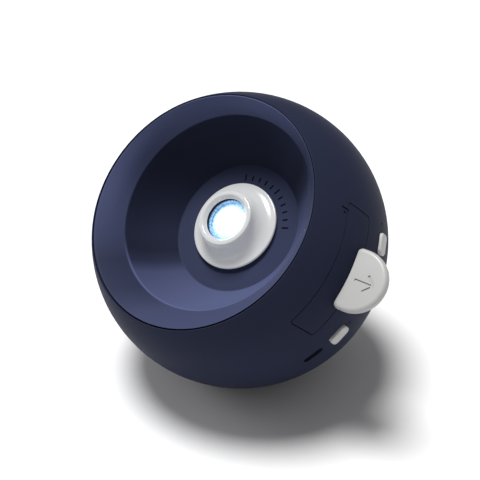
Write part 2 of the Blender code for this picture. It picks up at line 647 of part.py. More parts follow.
def make_lamp(nose):
    """Picture panel, condenser, light source and heat sink, one behind the other."""
    fit = TUBE_BORE - CLEARANCE
    frame_front = BARREL_GUIDE_END_Z - PANEL_SETBACK
    frame_back = frame_front - PANEL_THICKNESS
    opening = PANEL_SIDE / 2
    profile = [(opening, frame_back), (fit, frame_back), (fit, frame_front), (opening, frame_front)]
    lathe("panel_frame", profile, BLACK, nose, 32)

    panel_front = frame_back - CLEARANCE
    half = PANEL_SIDE / 2
    panel = (panel_front - PANEL_THICKNESS, panel_front)
    box("picture_panel", (-half, half), (-half, half), panel, GLASS, nose)

    crown = panel[0] - 2 * CLEARANCE
    rim = crown - CONDENSER_CROWN
    glass = [(0, rim - CONDENSER_EDGE), (fit, rim - CONDENSER_EDGE), (fit, rim)] + dome(fit, rim, crown)
    lathe("condenser_lens", glass, GLASS, nose, 24)

    board_back = TUBE_END_Z + 2 * CLEARANCE
    board_front = board_back + LED_BOARD_THICKNESS
    profile = [(0, board_back), (fit, board_back), (fit, board_front), (0, board_front)]
    lathe("led_board", profile, PCB, nose, 24)

    base = board_front + CLEARANCE
    profile = [(0, base), (LED_RADIUS, base), (LED_RADIUS, base + LED_RADIUS / 3)]
    profile += dome(LED_RADIUS, base + LED_RADIUS / 3, base + LED_RADIUS, 3)
    lathe("led_emitter", profile, LED, nose, 16)

    top = TUBE_END_Z - CLEARANCE
    fin_root = top - SINK_BASE
    fin_tip = fin_root - SINK_FIN_HEIGHT
    pitch = (SINK_WIDTH - SINK_FIN) / (SINK_FINS - 1)
    comb = [(SINK_WIDTH / 2, top), (-SINK_WIDTH / 2, top)]
    for i in range(SINK_FINS):
        left = -SINK_WIDTH / 2 + i * pitch
        right = left + SINK_FIN
        fin = [(left, fin_root), (left, fin_tip), (right, fin_tip), (right, fin_root)]
        comb += fin[1:] if i == 0 else fin
    comb.pop()
    prism("heat_sink", comb, "y", -SINK_DEPTH / 2, SINK_DEPTH / 2, ALUMINIUM, nose)


# ---------------------------------------------------------------- cartridge
def make_cartridge(parent):
    """Pull-out memory cartridge: flush end plate, half-moon handle, carrier and card."""
    inset = 2 * CLEARANCE
    middle_z = BAY_LOW_Z + BAY_HEIGHT / 2
    plate_outline = rounded(BAY_WIDTH - inset, BAY_HEIGHT - inset, BAY_CORNER - CLEARANCE, (0, middle_z))
    plate = prism("cartridge_plate", plate_outline, "x", BALL_RADIUS / 2, BALL_RADIUS * 1.2, NAVY, parent)
    boolean(plate, lathe("plate_wall", shell_profile(), NAVY, parent), "INTERSECT")
    tab_middle = CARTRIDGE_LOW_Z + HANDLE_THICKNESS / 2
    neck = (tab_middle - NECK_THICKNESS / 2, tab_middle + NECK_THICKNESS / 2)
    slot = (neck[0] - CLEARANCE, neck[1] + CLEARANCE)
    slot_half = NECK_WIDTH / 2 + CLEARANCE
    reach = (BALL_RADIUS / 2, BALL_RADIUS * 1.2)
    slot_tool = box("neck_slot", reach, (-slot_half, slot_half), slot, NAVY, parent)
    boolean(plate, slot_tool)

    carrier_end = carrier_outer_x()
    centre_x = BALL_RADIUS + HANDLE_REACH - HANDLE_RADIUS
    corner_x = BALL_RADIUS - HANDLE_INSET + HANDLE_CORNER
    corner_y = HANDLE_RADIUS - HANDLE_CORNER
    low_corner = [(corner_x - HANDLE_CORNER * cos(t), -corner_y - HANDLE_CORNER * sin(t))
                  for t in quarter_turn(3)]
    rim = [(centre_x + HANDLE_RADIUS * sin(t), -HANDLE_RADIUS * cos(t)) for t in half_turn(14)]
    outline = low_corner + rim + [(x, -y) for x, y in reversed(low_corner)]
    tab_z = (CARTRIDGE_LOW_Z, CARTRIDGE_LOW_Z + HANDLE_THICKNESS)
    handle = bevel(prism("cartridge_handle", outline, "z", *tab_z, WHITE, parent), HANDLE_BEVEL)
    ball = [(0, BALL_RADIUS + CLEARANCE)] + arc(BALL_RADIUS + CLEARANCE, 0, pi, 36)[1:-1]
    ball += [(0, -BALL_RADIUS - CLEARANCE)]
    boolean(handle, lathe("handle_seat", ball, WHITE, parent), solver="MANIFOLD")
    neck_x = (carrier_end + CLEARANCE, centre_x)
    neck_y = (-NECK_WIDTH / 2, NECK_WIDTH / 2)
    boolean(handle, box("handle_neck", neck_x, neck_y, neck, WHITE, parent), "UNION")

    carrier_x = (carrier_end - CARRIER_DEPTH, carrier_end)
    carrier_z = (CARTRIDGE_LOW_Z + CLEARANCE, CARTRIDGE_LOW_Z + CLEARANCE + CARRIER_HEIGHT)
    half = CARRIER_WIDTH / 2
    carrier = box("cartridge_carrier", carrier_x, (-half, half), carrier_z, GREY, parent)
    pocket_half = CARD_WIDTH / 2 + CLEARANCE
    pocket_x = (carrier_x[0] - CARRIER_WALL, carrier_x[1] - CARRIER_WALL)
    pocket_z = (carrier_z[0] + CARRIER_WALL, carrier_z[1] + CARRIER_WALL)
    boolean(carrier, box("card_pocket", pocket_x, (-pocket_half, pocket_half), pocket_z, GREY, parent))

    card_low = pocket_z[0] + CLEARANCE
    card_high = card_low + CARD_THICKNESS
    card_end = pocket_x[1] - CLEARANCE
    card_x = (card_end - CARD_LENGTH, card_end)
    box("cartridge_card", card_x, (-CARD_WIDTH / 2, CARD_WIDTH / 2), (card_low, card_high), PCB, parent)

    socket_x = (carrier_x[0] - 2 * CLEARANCE - SOCKET_DEPTH, carrier_x[0] - 2 * CLEARANCE)
    socket_half = pocket_half + SOCKET_WALL
    socket_z = (card_low - CLEARANCE - SOCKET_WALL, card_high + CLEARANCE + SOCKET_WALL / 2)
    socket = box("card_socket", socket_x, (-socket_half, socket_half), socket_z, BLACK, parent)
    mouth_x = (card_x[0] - CLEARANCE, socket_x[1] + SOCKET_WALL)
    mouth_z = (card_low - CLEARANCE, card_high + CLEARANCE)
    boolean(socket, box("socket_mouth", mouth_x, (-pocket_half, pocket_half), mouth_z, BLACK, parent))
    make_cartridge_guide(parent, socket_x[0], carrier_z)


def carrier_outer_x():
    """Outer end of the carrier, clear of the end plate's hollow side."""
    reach = INNER_RADIUS - CLEARANCE
    high = CARTRIDGE_LOW_Z + CLEARANCE + CARRIER_HEIGHT
    return sphere_x(reach, CARRIER_WIDTH / 2, high)


def make_cartridge_guide(parent, inner_x, carrier_z):
    """Fixed channel, open to the front, that the carrier slides in."""
    inner = CARRIER_WIDTH / 2 + CLEARANCE
    outer = inner + GUIDE_WALL
    floor_high = carrier_z[0] - CLEARANCE
    floor_low = floor_high - GUIDE_WALL
    channel = [(-outer, floor_low), (outer, floor_low), (outer, carrier_z[1]), (inner, carrier_z[1])]
    channel += [(inner, floor_high), (-inner, floor_high), (-inner, carrier_z[1]), (-outer, carrier_z[1])]
    outer_x = sphere_x(INNER_RADIUS - 2 * CLEARANCE, outer, carrier_z[1])
    prism("cartridge_guide", channel, "x", inner_x, outer_x, BLACK, parent)


def quarter_turn(steps):
    return [pi / 2 * i / steps for i in range(steps + 1)]


def half_turn(steps):
    return [pi * i / steps for i in range(steps + 1)]


# ---------------------------------------------------------------- controls and port
def make_button(name, azimuth, parent):
    """Button cap with its retaining flange, its plunger and the switch behind it."""
    top = BALL_RADIUS + BUTTON_PROUD
    flange_top = INNER_RADIUS - 2 * CLEARANCE
    flange_low = flange_top - BUTTON_FLANGE_THICKNESS
    cap_outline = rounded(BUTTON_LENGTH, BUTTON_WIDTH, BUTTON_CORNER)
    flange_size = (BUTTON_LENGTH + 2 * BUTTON_FLANGE, BUTTON_WIDTH + 2 * BUTTON_FLANGE)
    flange_outline = rounded(*flange_size, BUTTON_CORNER)
    cap = prism(f"{name}_button", cap_outline, "x", flange_low + CLEARANCE, top, GREY_WHITE, parent)
    bevel(cap, BUTTON_PROUD / 2)
    flange = prism(f"{name}_flange", flange_outline, "x", flange_low, flange_top, GREY_WHITE, parent)
    boolean(on_side(cap, azimuth, BUTTON_Z), on_side(flange, azimuth, BUTTON_Z), "UNION")

    plunger_top = flange_low - CLEARANCE
    plunger_low = plunger_top - PLUNGER_LENGTH
    pin = disc_outline(PLUNGER_RADIUS, 12)
    plunger = prism(f"{name}_plunger", pin, "x", plunger_low, plunger_top, BLACK, parent)
    on_side(plunger, azimuth, BUTTON_Z)

    base_top = plunger_top - BUTTON_TRAVEL
    half = SWITCH_SIDE / 2
    base_low = base_top - SWITCH_HEIGHT
    base = box(f"{name}_switch", (base_low, base_top), (-half, half), (-half, half), BLACK, parent)
    well = disc_outline(PLUNGER_RADIUS + CLEARANCE, 12)
    well_low = plunger_low - BUTTON_TRAVEL - CLEARANCE
    tool = prism(f"{name}_well", well, "x", well_low, top, BLACK, parent)
    boolean(on_side(base, azimuth, BUTTON_Z), on_side(tool, azimuth, BUTTON_Z))
    return base_low


def disc_outline(radius, steps):
    return [(radius * cos(2 * pi * i / steps), radius * sin(2 * pi * i / steps)) for i in range(steps)]


def make_control_board(parent, outer):
    """Curved board behind the buttons and the charging port."""
    outer -= CLEARANCE
    inner = outer - CONTROL_BOARD_THICKNESS
    first, last = CONTROL_BOARD_ENDS
    turns = [first + (last - first) * i / 13 for i in range(14)]
    outline = [(outer * cos(t), outer * sin(t)) for t in turns]
    outline += [(inner * cos(t), inner * sin(t)) for t in reversed(turns)]
    prism("control_board", outline, "z", CONTROL_BOARD_BACK_Z, CONTROL_BOARD_FRONT_Z, PCB, parent)


def make_charging_port(parent):
    """Metal port shell behind the opening, with its contact tongue."""
    drop = BALL_RADIUS - sphere_x(BALL_RADIUS, PORT_OPENING[0] / 2, 0)
    front = INNER_RADIUS - drop - CLEARANCE
    back = front - PORT_LENGTH
    width, height = PORT_OPENING
    outer = rounded(width + PORT_WALL, height + PORT_WALL, height * 0.45)
    inner = rounded(width - PORT_WALL, height - PORT_WALL, height * 0.36)
    port = prism("charging_port", outer, "x", back, front, STEEL, parent)
    tool = prism("port_bore", inner, "x", back + 2 * PORT_WALL, front + PORT_LENGTH, STEEL, parent)
    boolean(on_side(port, PORT_AZIMUTH, PORT_Z), on_side(tool, PORT_AZIMUTH, PORT_Z))
    reach = (back + 2 * PORT_WALL + CLEARANCE, front - 2 * CLEARANCE)
    half = width * 0.34
    thick = height * 0.12
    tongue = box("charging_tongue", reach, (-half, half), (-thick, thick), BLACK, parent)
    on_side(tongue, PORT_AZIMUTH, PORT_Z)


# ---------------------------------------------------------------- inner frame and power
def make_inner_frame(parent):
    """Flat frame across the ball that carries the battery cradle and the main board."""
    outer = sqrt(INNER_RADIUS**2 - max(FRAME_Z**2, FRAME_BACK_Z**2)) - CLEARANCE
    hole = TUBE_RADIUS + 2 * CLEARANCE
    profile = [(hole, FRAME_BACK_Z, DISH_OFFSET), (outer, FRAME_BACK_Z, 0.0)]
    profile += [(outer, FRAME_Z, 0.0), (hole, FRAME_Z, DISH_OFFSET)]
    return lathe("inner_frame", profile, GREY, parent)


def make_battery(parent):
    """Cylindrical cell lying across the ball, in a cradle under the inner frame."""
    floor = FRAME_BACK_Z - CLEARANCE - CRADLE_WALL
    centre_z = floor - CLEARANCE - CELL_RADIUS
    half = CELL_LENGTH / 2
    profile = [(0, -half), (CELL_RADIUS, -half), (CELL_RADIUS, half - CELL_CAP)]
    profile += [(CELL_CAP_RADIUS, half - CELL_CAP), (CELL_CAP_RADIUS, half), (0, half)]
    cell = lathe("battery_cell", profile, SLEEVE, parent, SMALL_SEGMENTS)
    cell.rotation_euler = (0, pi / 2, 0)
    cell.location = (0, -CELL_OFFSET, centre_z)

    inner_x = half + CLEARANCE
    inner_y = CELL_RADIUS + CLEARANCE
    low = floor - CRADLE_DEPTH
    outer_x = (-inner_x - CRADLE_WALL, inner_x + CRADLE_WALL)
    outer_y = (-CELL_OFFSET - inner_y - CRADLE_WALL, -CELL_OFFSET + inner_y + CRADLE_WALL)
    cradle = box("battery_cradle", outer_x, outer_y, (low, floor + CRADLE_WALL), BLACK, parent)
    trough_y = (-CELL_OFFSET - inner_y, -CELL_OFFSET + inner_y)
    trough = box("cradle_trough", (-inner_x, inner_x), trough_y, (low - CRADLE_WALL, floor), BLACK, parent)
    boolean(cradle, trough)


def make_main_board(parent):
    front = FRAME_BACK_Z - BOARD_GAP
    back = front - BOARD_THICKNESS
    low_y = DISH_OFFSET + TUBE_RADIUS + BOARD_EDGE
    half = BOARD_LENGTH / 2
    box("main_board", (-half, half), (low_y, low_y + BOARD_WIDTH), (back, front), PCB, parent)
    mount = back - CLEARANCE
    for name, x, y, width, depth, height in BOARD_PARTS:
        place_x = (x - width / 2, x + width / 2)
        place_y = (low_y + y - depth / 2, low_y + y + depth / 2)
        box(name, place_x, place_y, (mount - height, mount), BLACK, parent)


# ---------------------------------------------------------------- speaker
def make_speaker(parent):
    """Small driver facing out through the grille, its foam gasket and its magnet."""
    face = -sqrt((INNER_RADIUS - CLEARANCE) ** 2 - SPEAKER_RADIUS**2)
    gasket_back = face + GASKET_THICKNESS
    ring = SPEAKER_RADIUS - GASKET_WIDTH
    profile = [(ring, face), (SPEAKER_RADIUS, face), (SPEAKER_RADIUS, gasket_back), (ring, gasket_back)]
    lathe("speaker_gasket", profile, FOAM, parent, 32)

    front = gasket_back + CLEARANCE
    flange_back = front + SPEAKER_FLANGE
    mouth = ring - 2 * CLEARANCE
    floor = front + SPEAKER_DEPTH
    profile = [(mouth, front), (SPEAKER_RADIUS, front), (SPEAKER_RADIUS, flange_back)]
    profile += [(mouth + SPEAKER_WALL, flange_back), (SPEAKER_BACK_RADIUS, floor - SPEAKER_WALL)]
    profile += [(SPEAKER_BACK_RADIUS, floor), (VOICE_COIL_RADIUS, floor)]
    profile += [(VOICE_COIL_RADIUS, floor - SPEAKER_WALL)]
    profile += [(SPEAKER_BACK_RADIUS - SPEAKER_WALL, floor - SPEAKER_WALL), (mouth, flange_back)]
    lathe("speaker_frame", profile, STEEL, parent, 32)

    edge = mouth - 2 * CLEARANCE
    roll = edge * 0.86
    coil = VOICE_COIL_RADIUS
    coil_z = front + SPEAKER_DEPTH * 0.55
    wall = CONE_WALL
    profile = [(edge, front), (edge, front + wall), (roll, front + 2 * wall), (coil, coil_z + wall)]
    profile += [(coil - wall, coil_z + wall), (coil - wall, coil_z), (roll, front + wall)]
    profile += [((edge + roll) / 2, front - wall)]
    lathe("speaker_cone", profile, PAPER, parent, 32)

    cap_rim = coil_z - CLEARANCE - wall
    inner = cap_rim - coil * 0.35
    profile = [(0, inner - wall)]
    profile += dome(coil, cap_rim, inner - wall, 4)[::-1][1:] + [(coil, cap_rim), (coil, cap_rim + wall / 2)]
    profile += [(0, cap_rim + wall / 2)]
    lathe("speaker_dust_cap", profile, PAPER, parent, 24)

    base = floor + CLEARANCE
    top = base + MAGNET_HEIGHT
    profile = [(0, base), (MAGNET_RADIUS, base), (MAGNET_RADIUS, top), (0, top)]
    lathe("speaker_magnet", profile, FERRITE, parent, SMALL_SEGMENTS)


def build():
    clear_scene()
    ball_axis = empty("ball_axis", (0, 0, BALL_HEIGHT), (TILT, 0, 0))
    nose_axis = empty("nose_axis", (0, DISH_OFFSET, 0), parent=ball_axis)
    make_body_shell(ball_axis)
    make_front_dish(ball_axis)
    make_rear_cover(ball_axis)
    make_speaker_grille(ball_axis)
    make_cover_screws(ball_axis)
    make_foot_pad()
    make_focus_ring(nose_axis)
    make_focus_bush(nose_axis)
    make_lens_barrel(nose_axis)
    make_lamp_tube(nose_axis)
    make_lamp(nose_axis)
    make_cartridge(ball_axis)
    make_button("power", -BUTTON_AZIMUTH, ball_axis)
    switch_back = make_button("play", BUTTON_AZIMUTH, ball_axis)
    make_control_board(ball_axis, switch_back)
    make_charging_port(ball_axis)
    make_inner_frame(ball_axis)
    make_battery(ball_axis)
    make_main_board(ball_axis)
    make_speaker(ball_axis)
    bpy.context.view_layer.update()


build()
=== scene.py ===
import json
from math import acos, asin, atan2, cos, degrees, pi, radians, sin, sqrt, tan

import bpy
from mathutils import Matrix, Vector


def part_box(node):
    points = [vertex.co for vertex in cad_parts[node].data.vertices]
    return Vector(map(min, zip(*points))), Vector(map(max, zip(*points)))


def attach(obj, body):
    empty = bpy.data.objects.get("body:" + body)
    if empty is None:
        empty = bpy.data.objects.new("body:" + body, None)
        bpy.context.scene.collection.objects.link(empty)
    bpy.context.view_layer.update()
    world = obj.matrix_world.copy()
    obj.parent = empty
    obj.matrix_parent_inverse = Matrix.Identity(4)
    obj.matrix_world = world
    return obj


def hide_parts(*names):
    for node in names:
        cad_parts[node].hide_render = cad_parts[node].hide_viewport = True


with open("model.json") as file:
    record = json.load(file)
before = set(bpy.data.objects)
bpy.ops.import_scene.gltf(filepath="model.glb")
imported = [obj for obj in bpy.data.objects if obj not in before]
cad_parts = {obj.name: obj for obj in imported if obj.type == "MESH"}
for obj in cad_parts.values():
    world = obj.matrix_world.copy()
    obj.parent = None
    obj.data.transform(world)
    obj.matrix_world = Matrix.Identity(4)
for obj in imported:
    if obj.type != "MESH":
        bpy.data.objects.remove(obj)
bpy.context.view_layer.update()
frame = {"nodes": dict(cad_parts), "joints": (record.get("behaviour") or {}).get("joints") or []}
print("frame loaded:", len(frame["nodes"]), "nodes")

# The ball's own frame: Z is the optical axis, X the cartridge side, origin the ball's centre
turnJoint = next(j for j in frame["joints"] if j["name"] == "focus_turn")
axisWorld = Vector(turnJoint["axis"])
tilt = atan2(-axisWorld.y, axisWorld.z)

ball = {
    "radius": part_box("body_shell")[1].x,
    "wall": 0.0020,
    "centreHeight": 0.0538,
    "mouthRadius": 0.0435,
    "creaseRound": 0.0002,
    "creaseGap": 0.00002,
    "parting": -0.0232,
    "partingRound": 0.00025,
    "gap": 0.0003,
    "turnSteps": 192,
}
ballMatrix = Matrix.Translation((0, 0, ball["centreHeight"])) @ Matrix.Rotation(tilt, 4, "X")
mouthZ = sqrt(ball["radius"] ** 2 - ball["mouthRadius"] ** 2)
innerRadius = ball["radius"] - ball["wall"]
cutNear, cutFar = ball["radius"] * 0.6, ball["radius"] * 1.2  # a cutter starts inside and ends outside


# Working by hand: selecting, turning, cutting and placing
def deselectAll():
    bpy.ops.object.select_all(action="DESELECT")


def activate(piece):
    deselectAll()
    piece.select_set(True)
    bpy.context.view_layer.objects.active = piece


def editAll(piece):
    activate(piece)
    bpy.ops.object.mode_set(mode="EDIT")
    bpy.ops.mesh.select_all(action="SELECT")


def leaveEdit():
    bpy.ops.object.mode_set(mode="OBJECT")


def selectPoints(piece, wanted):
    editAll(piece)
    bpy.ops.mesh.select_mode(type="VERT")
    bpy.ops.mesh.select_all(action="DESELECT")
    leaveEdit()
    for point in piece.data.vertices:
        point.select = bool(wanted(point.co))
    bpy.ops.object.mode_set(mode="EDIT")


def applyModifiers(piece):
    activate(piece)
    for modifier in list(piece.modifiers):
        bpy.ops.object.modifier_apply(modifier=modifier.name)


def smooth(piece, angle=30):
    activate(piece)
    bpy.ops.object.shade_smooth_by_angle(angle=radians(angle))


def arc(radius, start, end, steps):
    # (radius, height) points on a sphere's outline, angles in degrees from its pole
    turns = [radians(start + (end - start) * i / steps) for i in range(steps + 1)]
    return [(radius * sin(t), radius * cos(t)) for t in turns]


def rounded(corners, closed=True, steps=5):
    # rounds each (u, v, radius) corner of an outline with an arc
    points = []
    count = len(corners)
    for i, (u, v, radius) in enumerate(corners):
        here = Vector((u, v))
        if radius <= 0 or (not closed and i in (0, count - 1)):
            points.append((u, v))
            continue
        before = (Vector(corners[i - 1][:2]) - here).normalized()
        after = (Vector(corners[(i + 1) % count][:2]) - here).normalized()
        half = before.angle(after) / 2
        reach = radius / tan(half)
        centre = here + (before + after).normalized() * (radius / sin(half))
        first = here + before * reach - centre
        last = here + after * reach - centre
        sweep = atan2(first.x * last.y - first.y * last.x, first.dot(last))
        for k in range(steps + 1):
            turn = sweep * k / steps
            points.append((
                centre.x + first.x * cos(turn) - first.y * sin(turn),
                centre.y + first.x * sin(turn) + first.y * cos(turn),
            ))
    return points


def outlineByExtruding(name, points):
    # one vertex, extruded along the outline
    deselectAll()
    bpy.ops.mesh.primitive_plane_add(size=0.001, location=points[0])
    piece = bpy.context.object
    piece.name = name
    bpy.ops.object.transform_apply(location=True, rotation=True, scale=True)
    bpy.ops.object.mode_set(mode="EDIT")
    bpy.ops.mesh.select_mode(type="VERT")
    bpy.ops.mesh.select_all(action="SELECT")
    bpy.ops.mesh.merge(type="CENTER")
    for here, there in zip(points, points[1:]):
        step = Vector(there) - Vector(here)
        bpy.ops.mesh.extrude_vertices_move(TRANSFORM_OT_translate={"value": step})
    return piece


def turned(name, outline, steps=None, closed=True):
    # spins a (radius, height) outline round Z
    points = [(r, 0.0, z) for r, z in outline]
    if closed:
        points.append(points[0])
    piece = outlineByExtruding(name, points)
    bpy.ops.mesh.select_all(action="SELECT")
    bpy.ops.mesh.remove_doubles(threshold=1e-7)
    bpy.ops.mesh.select_all(action="SELECT")
    bpy.ops.mesh.spin(steps=steps or ball["turnSteps"], angle=2 * pi, center=(0, 0, 0), axis=(0, 0, 1))
    bpy.ops.mesh.select_all(action="SELECT")
    bpy.ops.mesh.remove_doubles(threshold=2e-6)
    bpy.ops.mesh.normals_make_consistent(inside=False)
    leaveEdit()
    return piece


def slab(name, outline, direction, low, high):
    # extrudes a closed outline along X or Z
    place = {"X": lambda u, v: (low, u, v), "Z": lambda u, v: (u, v, low)}[direction]
    points = [place(u, v) for u, v in outline]
    piece = outlineByExtruding(name, points + points[:1])
    bpy.ops.mesh.select_all(action="SELECT")
    bpy.ops.mesh.remove_doubles(threshold=1e-7)
    bpy.ops.mesh.select_all(action="SELECT")
    bpy.ops.mesh.edge_face_add()
    rise = (high - low, 0, 0) if direction == "X" else (0, 0, high - low)
    bpy.ops.mesh.extrude_region_move(TRANSFORM_OT_translate={"value": rise})
    bpy.ops.mesh.select_all(action="SELECT")
    bpy.ops.mesh.normals_make_consistent(inside=False)
    leaveEdit()
    return piece


def roundEdges(piece, width, segments=4, angle=40):
    modifier = piece.modifiers.new("roundEdges", "BEVEL")
    modifier.width = width
    modifier.segments = segments
    modifier.limit_method = "ANGLE"
    modifier.angle_limit = radians(angle)
    modifier.harden_normals = False
    applyModifiers(piece)


def boolean(piece, tool, operation="DIFFERENCE", solver="EXACT"):
    modifier = piece.modifiers.new("boolean", "BOOLEAN")
    modifier.operation = operation
    modifier.object = tool
    modifier.solver = solver
    applyModifiers(piece)
    bpy.data.objects.remove(tool)
    return piece


def applyPlace(piece):
    activate(piece)
    bpy.ops.object.transform_apply(location=True, rotation=True, scale=True)
    return piece


def sideways(piece, azimuth, height):
    # turns a piece modelled towards +X round the optical axis
    piece.rotation_euler = (0, 0, azimuth)
    piece.location = (0, 0, height)
    return applyPlace(piece)


def settle(piece, body, material, nodes=(), shift=0.0, angle=30):
    # from the ball's frame to the part's frame, with the place kept in the mesh
    piece.matrix_world = ballMatrix @ Matrix.Translation((0, shift, 0)) @ piece.matrix_world
    applyPlace(piece)
    if angle:
        smooth(piece, angle)
    piece.data.materials.clear()
    piece.data.materials.append(material)
    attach(piece, body)
    if nodes:
        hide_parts(*nodes)
    return piece


# Shader effects that several materials share
def newGroup(name, inputs, outputs):
    group = bpy.data.node_groups.new(name, "ShaderNodeTree")
    for label, value in inputs.items():
        kind = "NodeSocketVector" if label == "Vector" else "NodeSocketFloat"
        socket = group.interface.new_socket(name=label, in_out="INPUT", socket_type=kind)
        if kind == "NodeSocketFloat":
            socket.default_value = value
    for label in outputs:
        group.interface.new_socket(name=label, in_out="OUTPUT", socket_type="NodeSocketFloat")
    return group, group.nodes.new("NodeGroupInput"), group.nodes.new("NodeGroupOutput")


def mathNode(tree, operation, first, second, clamp=False):
    node = tree.nodes.new("ShaderNodeMath")
    node.operation = operation
    node.use_clamp = clamp
    for socket, value in zip(node.inputs, (first, second)):
        if isinstance(value, (int, float)):
            socket.default_value = value
        else:
            tree.links.new(value, socket)
    return node.outputs[0]


def noiseNode(tree, vector, scale, detail=3.0, roughness=0.55):
    node = tree.nodes.new("ShaderNodeTexNoise")
    tree.links.new(vector, node.inputs["Vector"])
    if isinstance(scale, (int, float)):
        node.inputs["Scale"].default_value = scale
    else:
        tree.links.new(scale, node.inputs["Scale"])
    node.inputs["Detail"].default_value = detail
    node.inputs["Roughness"].default_value = roughness
    return node.outputs["Fac"]


grainLook = {"size": 2600.0, "unevenness": 0.3, "broadScale": 38.0, "fineRoughness": 0.6, "depth": 0.00004}
handlingLook = {
    "smearScale": 55.0, "smearFrom": 0.48, "smearGain": 3.2,
    "scuffScale": 420.0, "scuffFrom": 0.66, "scuffGain": 6.0,
    "scuffStretch": (1.0, 9.0, 1.0), "scuffTurn": (0.4, 0.2, 0.7),
    "wornGain": 1.25, "wornLift": 0.01,  # colour where it is scuffed
}


def makeMouldGrain():
    # fine spark-eroded texture of a moulding, with a slow unevenness under it
    g = grainLook
    inputs = {"Vector": None, "Size": g["size"], "Unevenness": g["unevenness"]}
    group, source, sink = newGroup("mouldGrain", inputs, ["Height", "Tone"])
    fine = noiseNode(group, source.outputs["Vector"], source.outputs["Size"], 4.0, g["fineRoughness"])
    broad = noiseNode(group, source.outputs["Vector"], g["broadScale"], 2.0)
    lift = mathNode(group, "MULTIPLY", broad, source.outputs["Unevenness"])
    group.links.new(mathNode(group, "ADD", fine, lift), sink.inputs["Height"])
    group.links.new(broad, sink.inputs["Tone"])
    return group


def makeHandling():
    # smears and fine scuffs left by hands, as masks from 0 to 1
    h = handlingLook
    group, source, sink = newGroup("handling", {"Vector": None, "Amount": 0.5}, ["Smear", "Scuff"])
    vector, amount = source.outputs["Vector"], source.outputs["Amount"]
    smear = noiseNode(group, vector, h["smearScale"], 5.0, 0.65)
    smear = mathNode(group, "SUBTRACT", smear, h["smearFrom"])
    smear = mathNode(group, "MULTIPLY", smear, h["smearGain"], True)
    group.links.new(mathNode(group, "MULTIPLY", smear, amount), sink.inputs["Smear"])
    stretch = group.nodes.new("ShaderNodeMapping")
    stretch.inputs["Scale"].default_value = h["scuffStretch"]
    stretch.inputs["Rotation"].default_value = h["scuffTurn"]
    group.links.new(vector, stretch.inputs["Vector"])
    scuff = noiseNode(group, stretch.outputs["Vector"], h["scuffScale"], 2.0)
    scuff = mathNode(group, "SUBTRACT", scuff, h["scuffFrom"])
    scuff = mathNode(group, "MULTIPLY", scuff, h["scuffGain"], True)
    group.links.new(mathNode(group, "MULTIPLY", scuff, amount), sink.inputs["Scuff"])
    return group


mouldGrain = makeMouldGrain()
handling = makeHandling()


def useGroup(tree, group, vector, **values):
    node = tree.nodes.new("ShaderNodeGroup")
    node.node_tree = group
    tree.links.new(vector, node.inputs["Vector"])
    for label, value in values.items():
        node.inputs[label].default_value = value
    return node


def blendColour(tree, mask, first, second, mode="MIX"):
    node = tree.nodes.new("ShaderNodeMix")
    node.data_type = "RGBA"
    node.blend_type = mode
    if isinstance(mask, (int, float)):
        node.inputs["Factor"].default_value = mask
    else:
        tree.links.new(mask, node.inputs["Factor"])
    for socket, value in ((node.inputs["A"], first), (node.inputs["B"], second)):
        if isinstance(value, tuple):
            socket.default_value = (*value, 1.0)
        else:
            tree.links.new(value, socket)
    return node.outputs["Result"]


def ballCoordinates(tree, shift=0.0):
    # object coordinates turned into the ball's own frame
    place = tree.nodes.new("ShaderNodeTexCoord")
    turn = tree.nodes.new("ShaderNodeMapping")
    turn.vector_type = "TEXTURE"
    turn.inputs["Location"].default_value = ballMatrix @ Vector((0, shift, 0))
    turn.inputs["Rotation"].default_value = (tilt, 0, 0)
    tree.links.new(place.outputs["Object"], turn.inputs["Vector"])
    return turn.outputs["Vector"]


def plastic(name, look):
    # moulded plastic: grain, slow tone change, smears and scuffs in roughness and colour
    made = bpy.data.materials.new(name)
    made.use_nodes = True
    tree = made.node_tree
    shader = tree.nodes["Principled BSDF"]
    vector = ballCoordinates(tree)
    grain = useGroup(tree, mouldGrain, vector, Size=look["grain"])
    wear = useGroup(tree, handling, vector, Amount=look["handling"])
    dark = tuple(c * (1 - look["variation"]) for c in look["colour"])
    light = tuple(min(c * (1 + look["variation"]), 1) for c in look["colour"])
    colour = blendColour(tree, grain.outputs["Tone"], dark, light)
    worn = tuple(min(c * handlingLook["wornGain"] + handlingLook["wornLift"], 1) for c in look["colour"])
    colour = blendColour(tree, wear.outputs["Scuff"], colour, worn)
    tree.links.new(colour, shader.inputs["Base Color"])
    rough = mathNode(tree, "MULTIPLY_ADD", grain.outputs["Tone"], look["roughnessSpread"])
    rough.node.inputs[2].default_value = look["roughness"] - look["roughnessSpread"] / 2
    smear = mathNode(tree, "MULTIPLY", wear.outputs["Smear"], look["smear"])
    rough = mathNode(tree, "SUBTRACT", rough, smear, True)
    tree.links.new(rough, shader.inputs["Roughness"])
    bump = tree.nodes.new("ShaderNodeBump")
    bump.inputs["Strength"].default_value = look["bump"]
    bump.inputs["Distance"].default_value = grainLook["depth"]
    tree.links.new(grain.outputs["Height"], bump.inputs["Height"])
    tree.links.new(bump.outputs["Normal"], shader.inputs["Normal"])
    shader.inputs["Metallic"].default_value = look.get("metallic", 0.0)
    shader.inputs["Specular IOR Level"].default_value = look.get("specular", 0.5)
    shader.inputs["Coat Weight"].default_value = look.get("coat", 0.0)
    shader.inputs["Coat Roughness"].default_value = look.get("coatRoughness", 0.1)
    if "glow" in look:
        shader.inputs["Emission Color"].default_value = (*look["glowColour"], 1.0)
        shader.inputs["Emission Strength"].default_value = look["glow"]
    return made


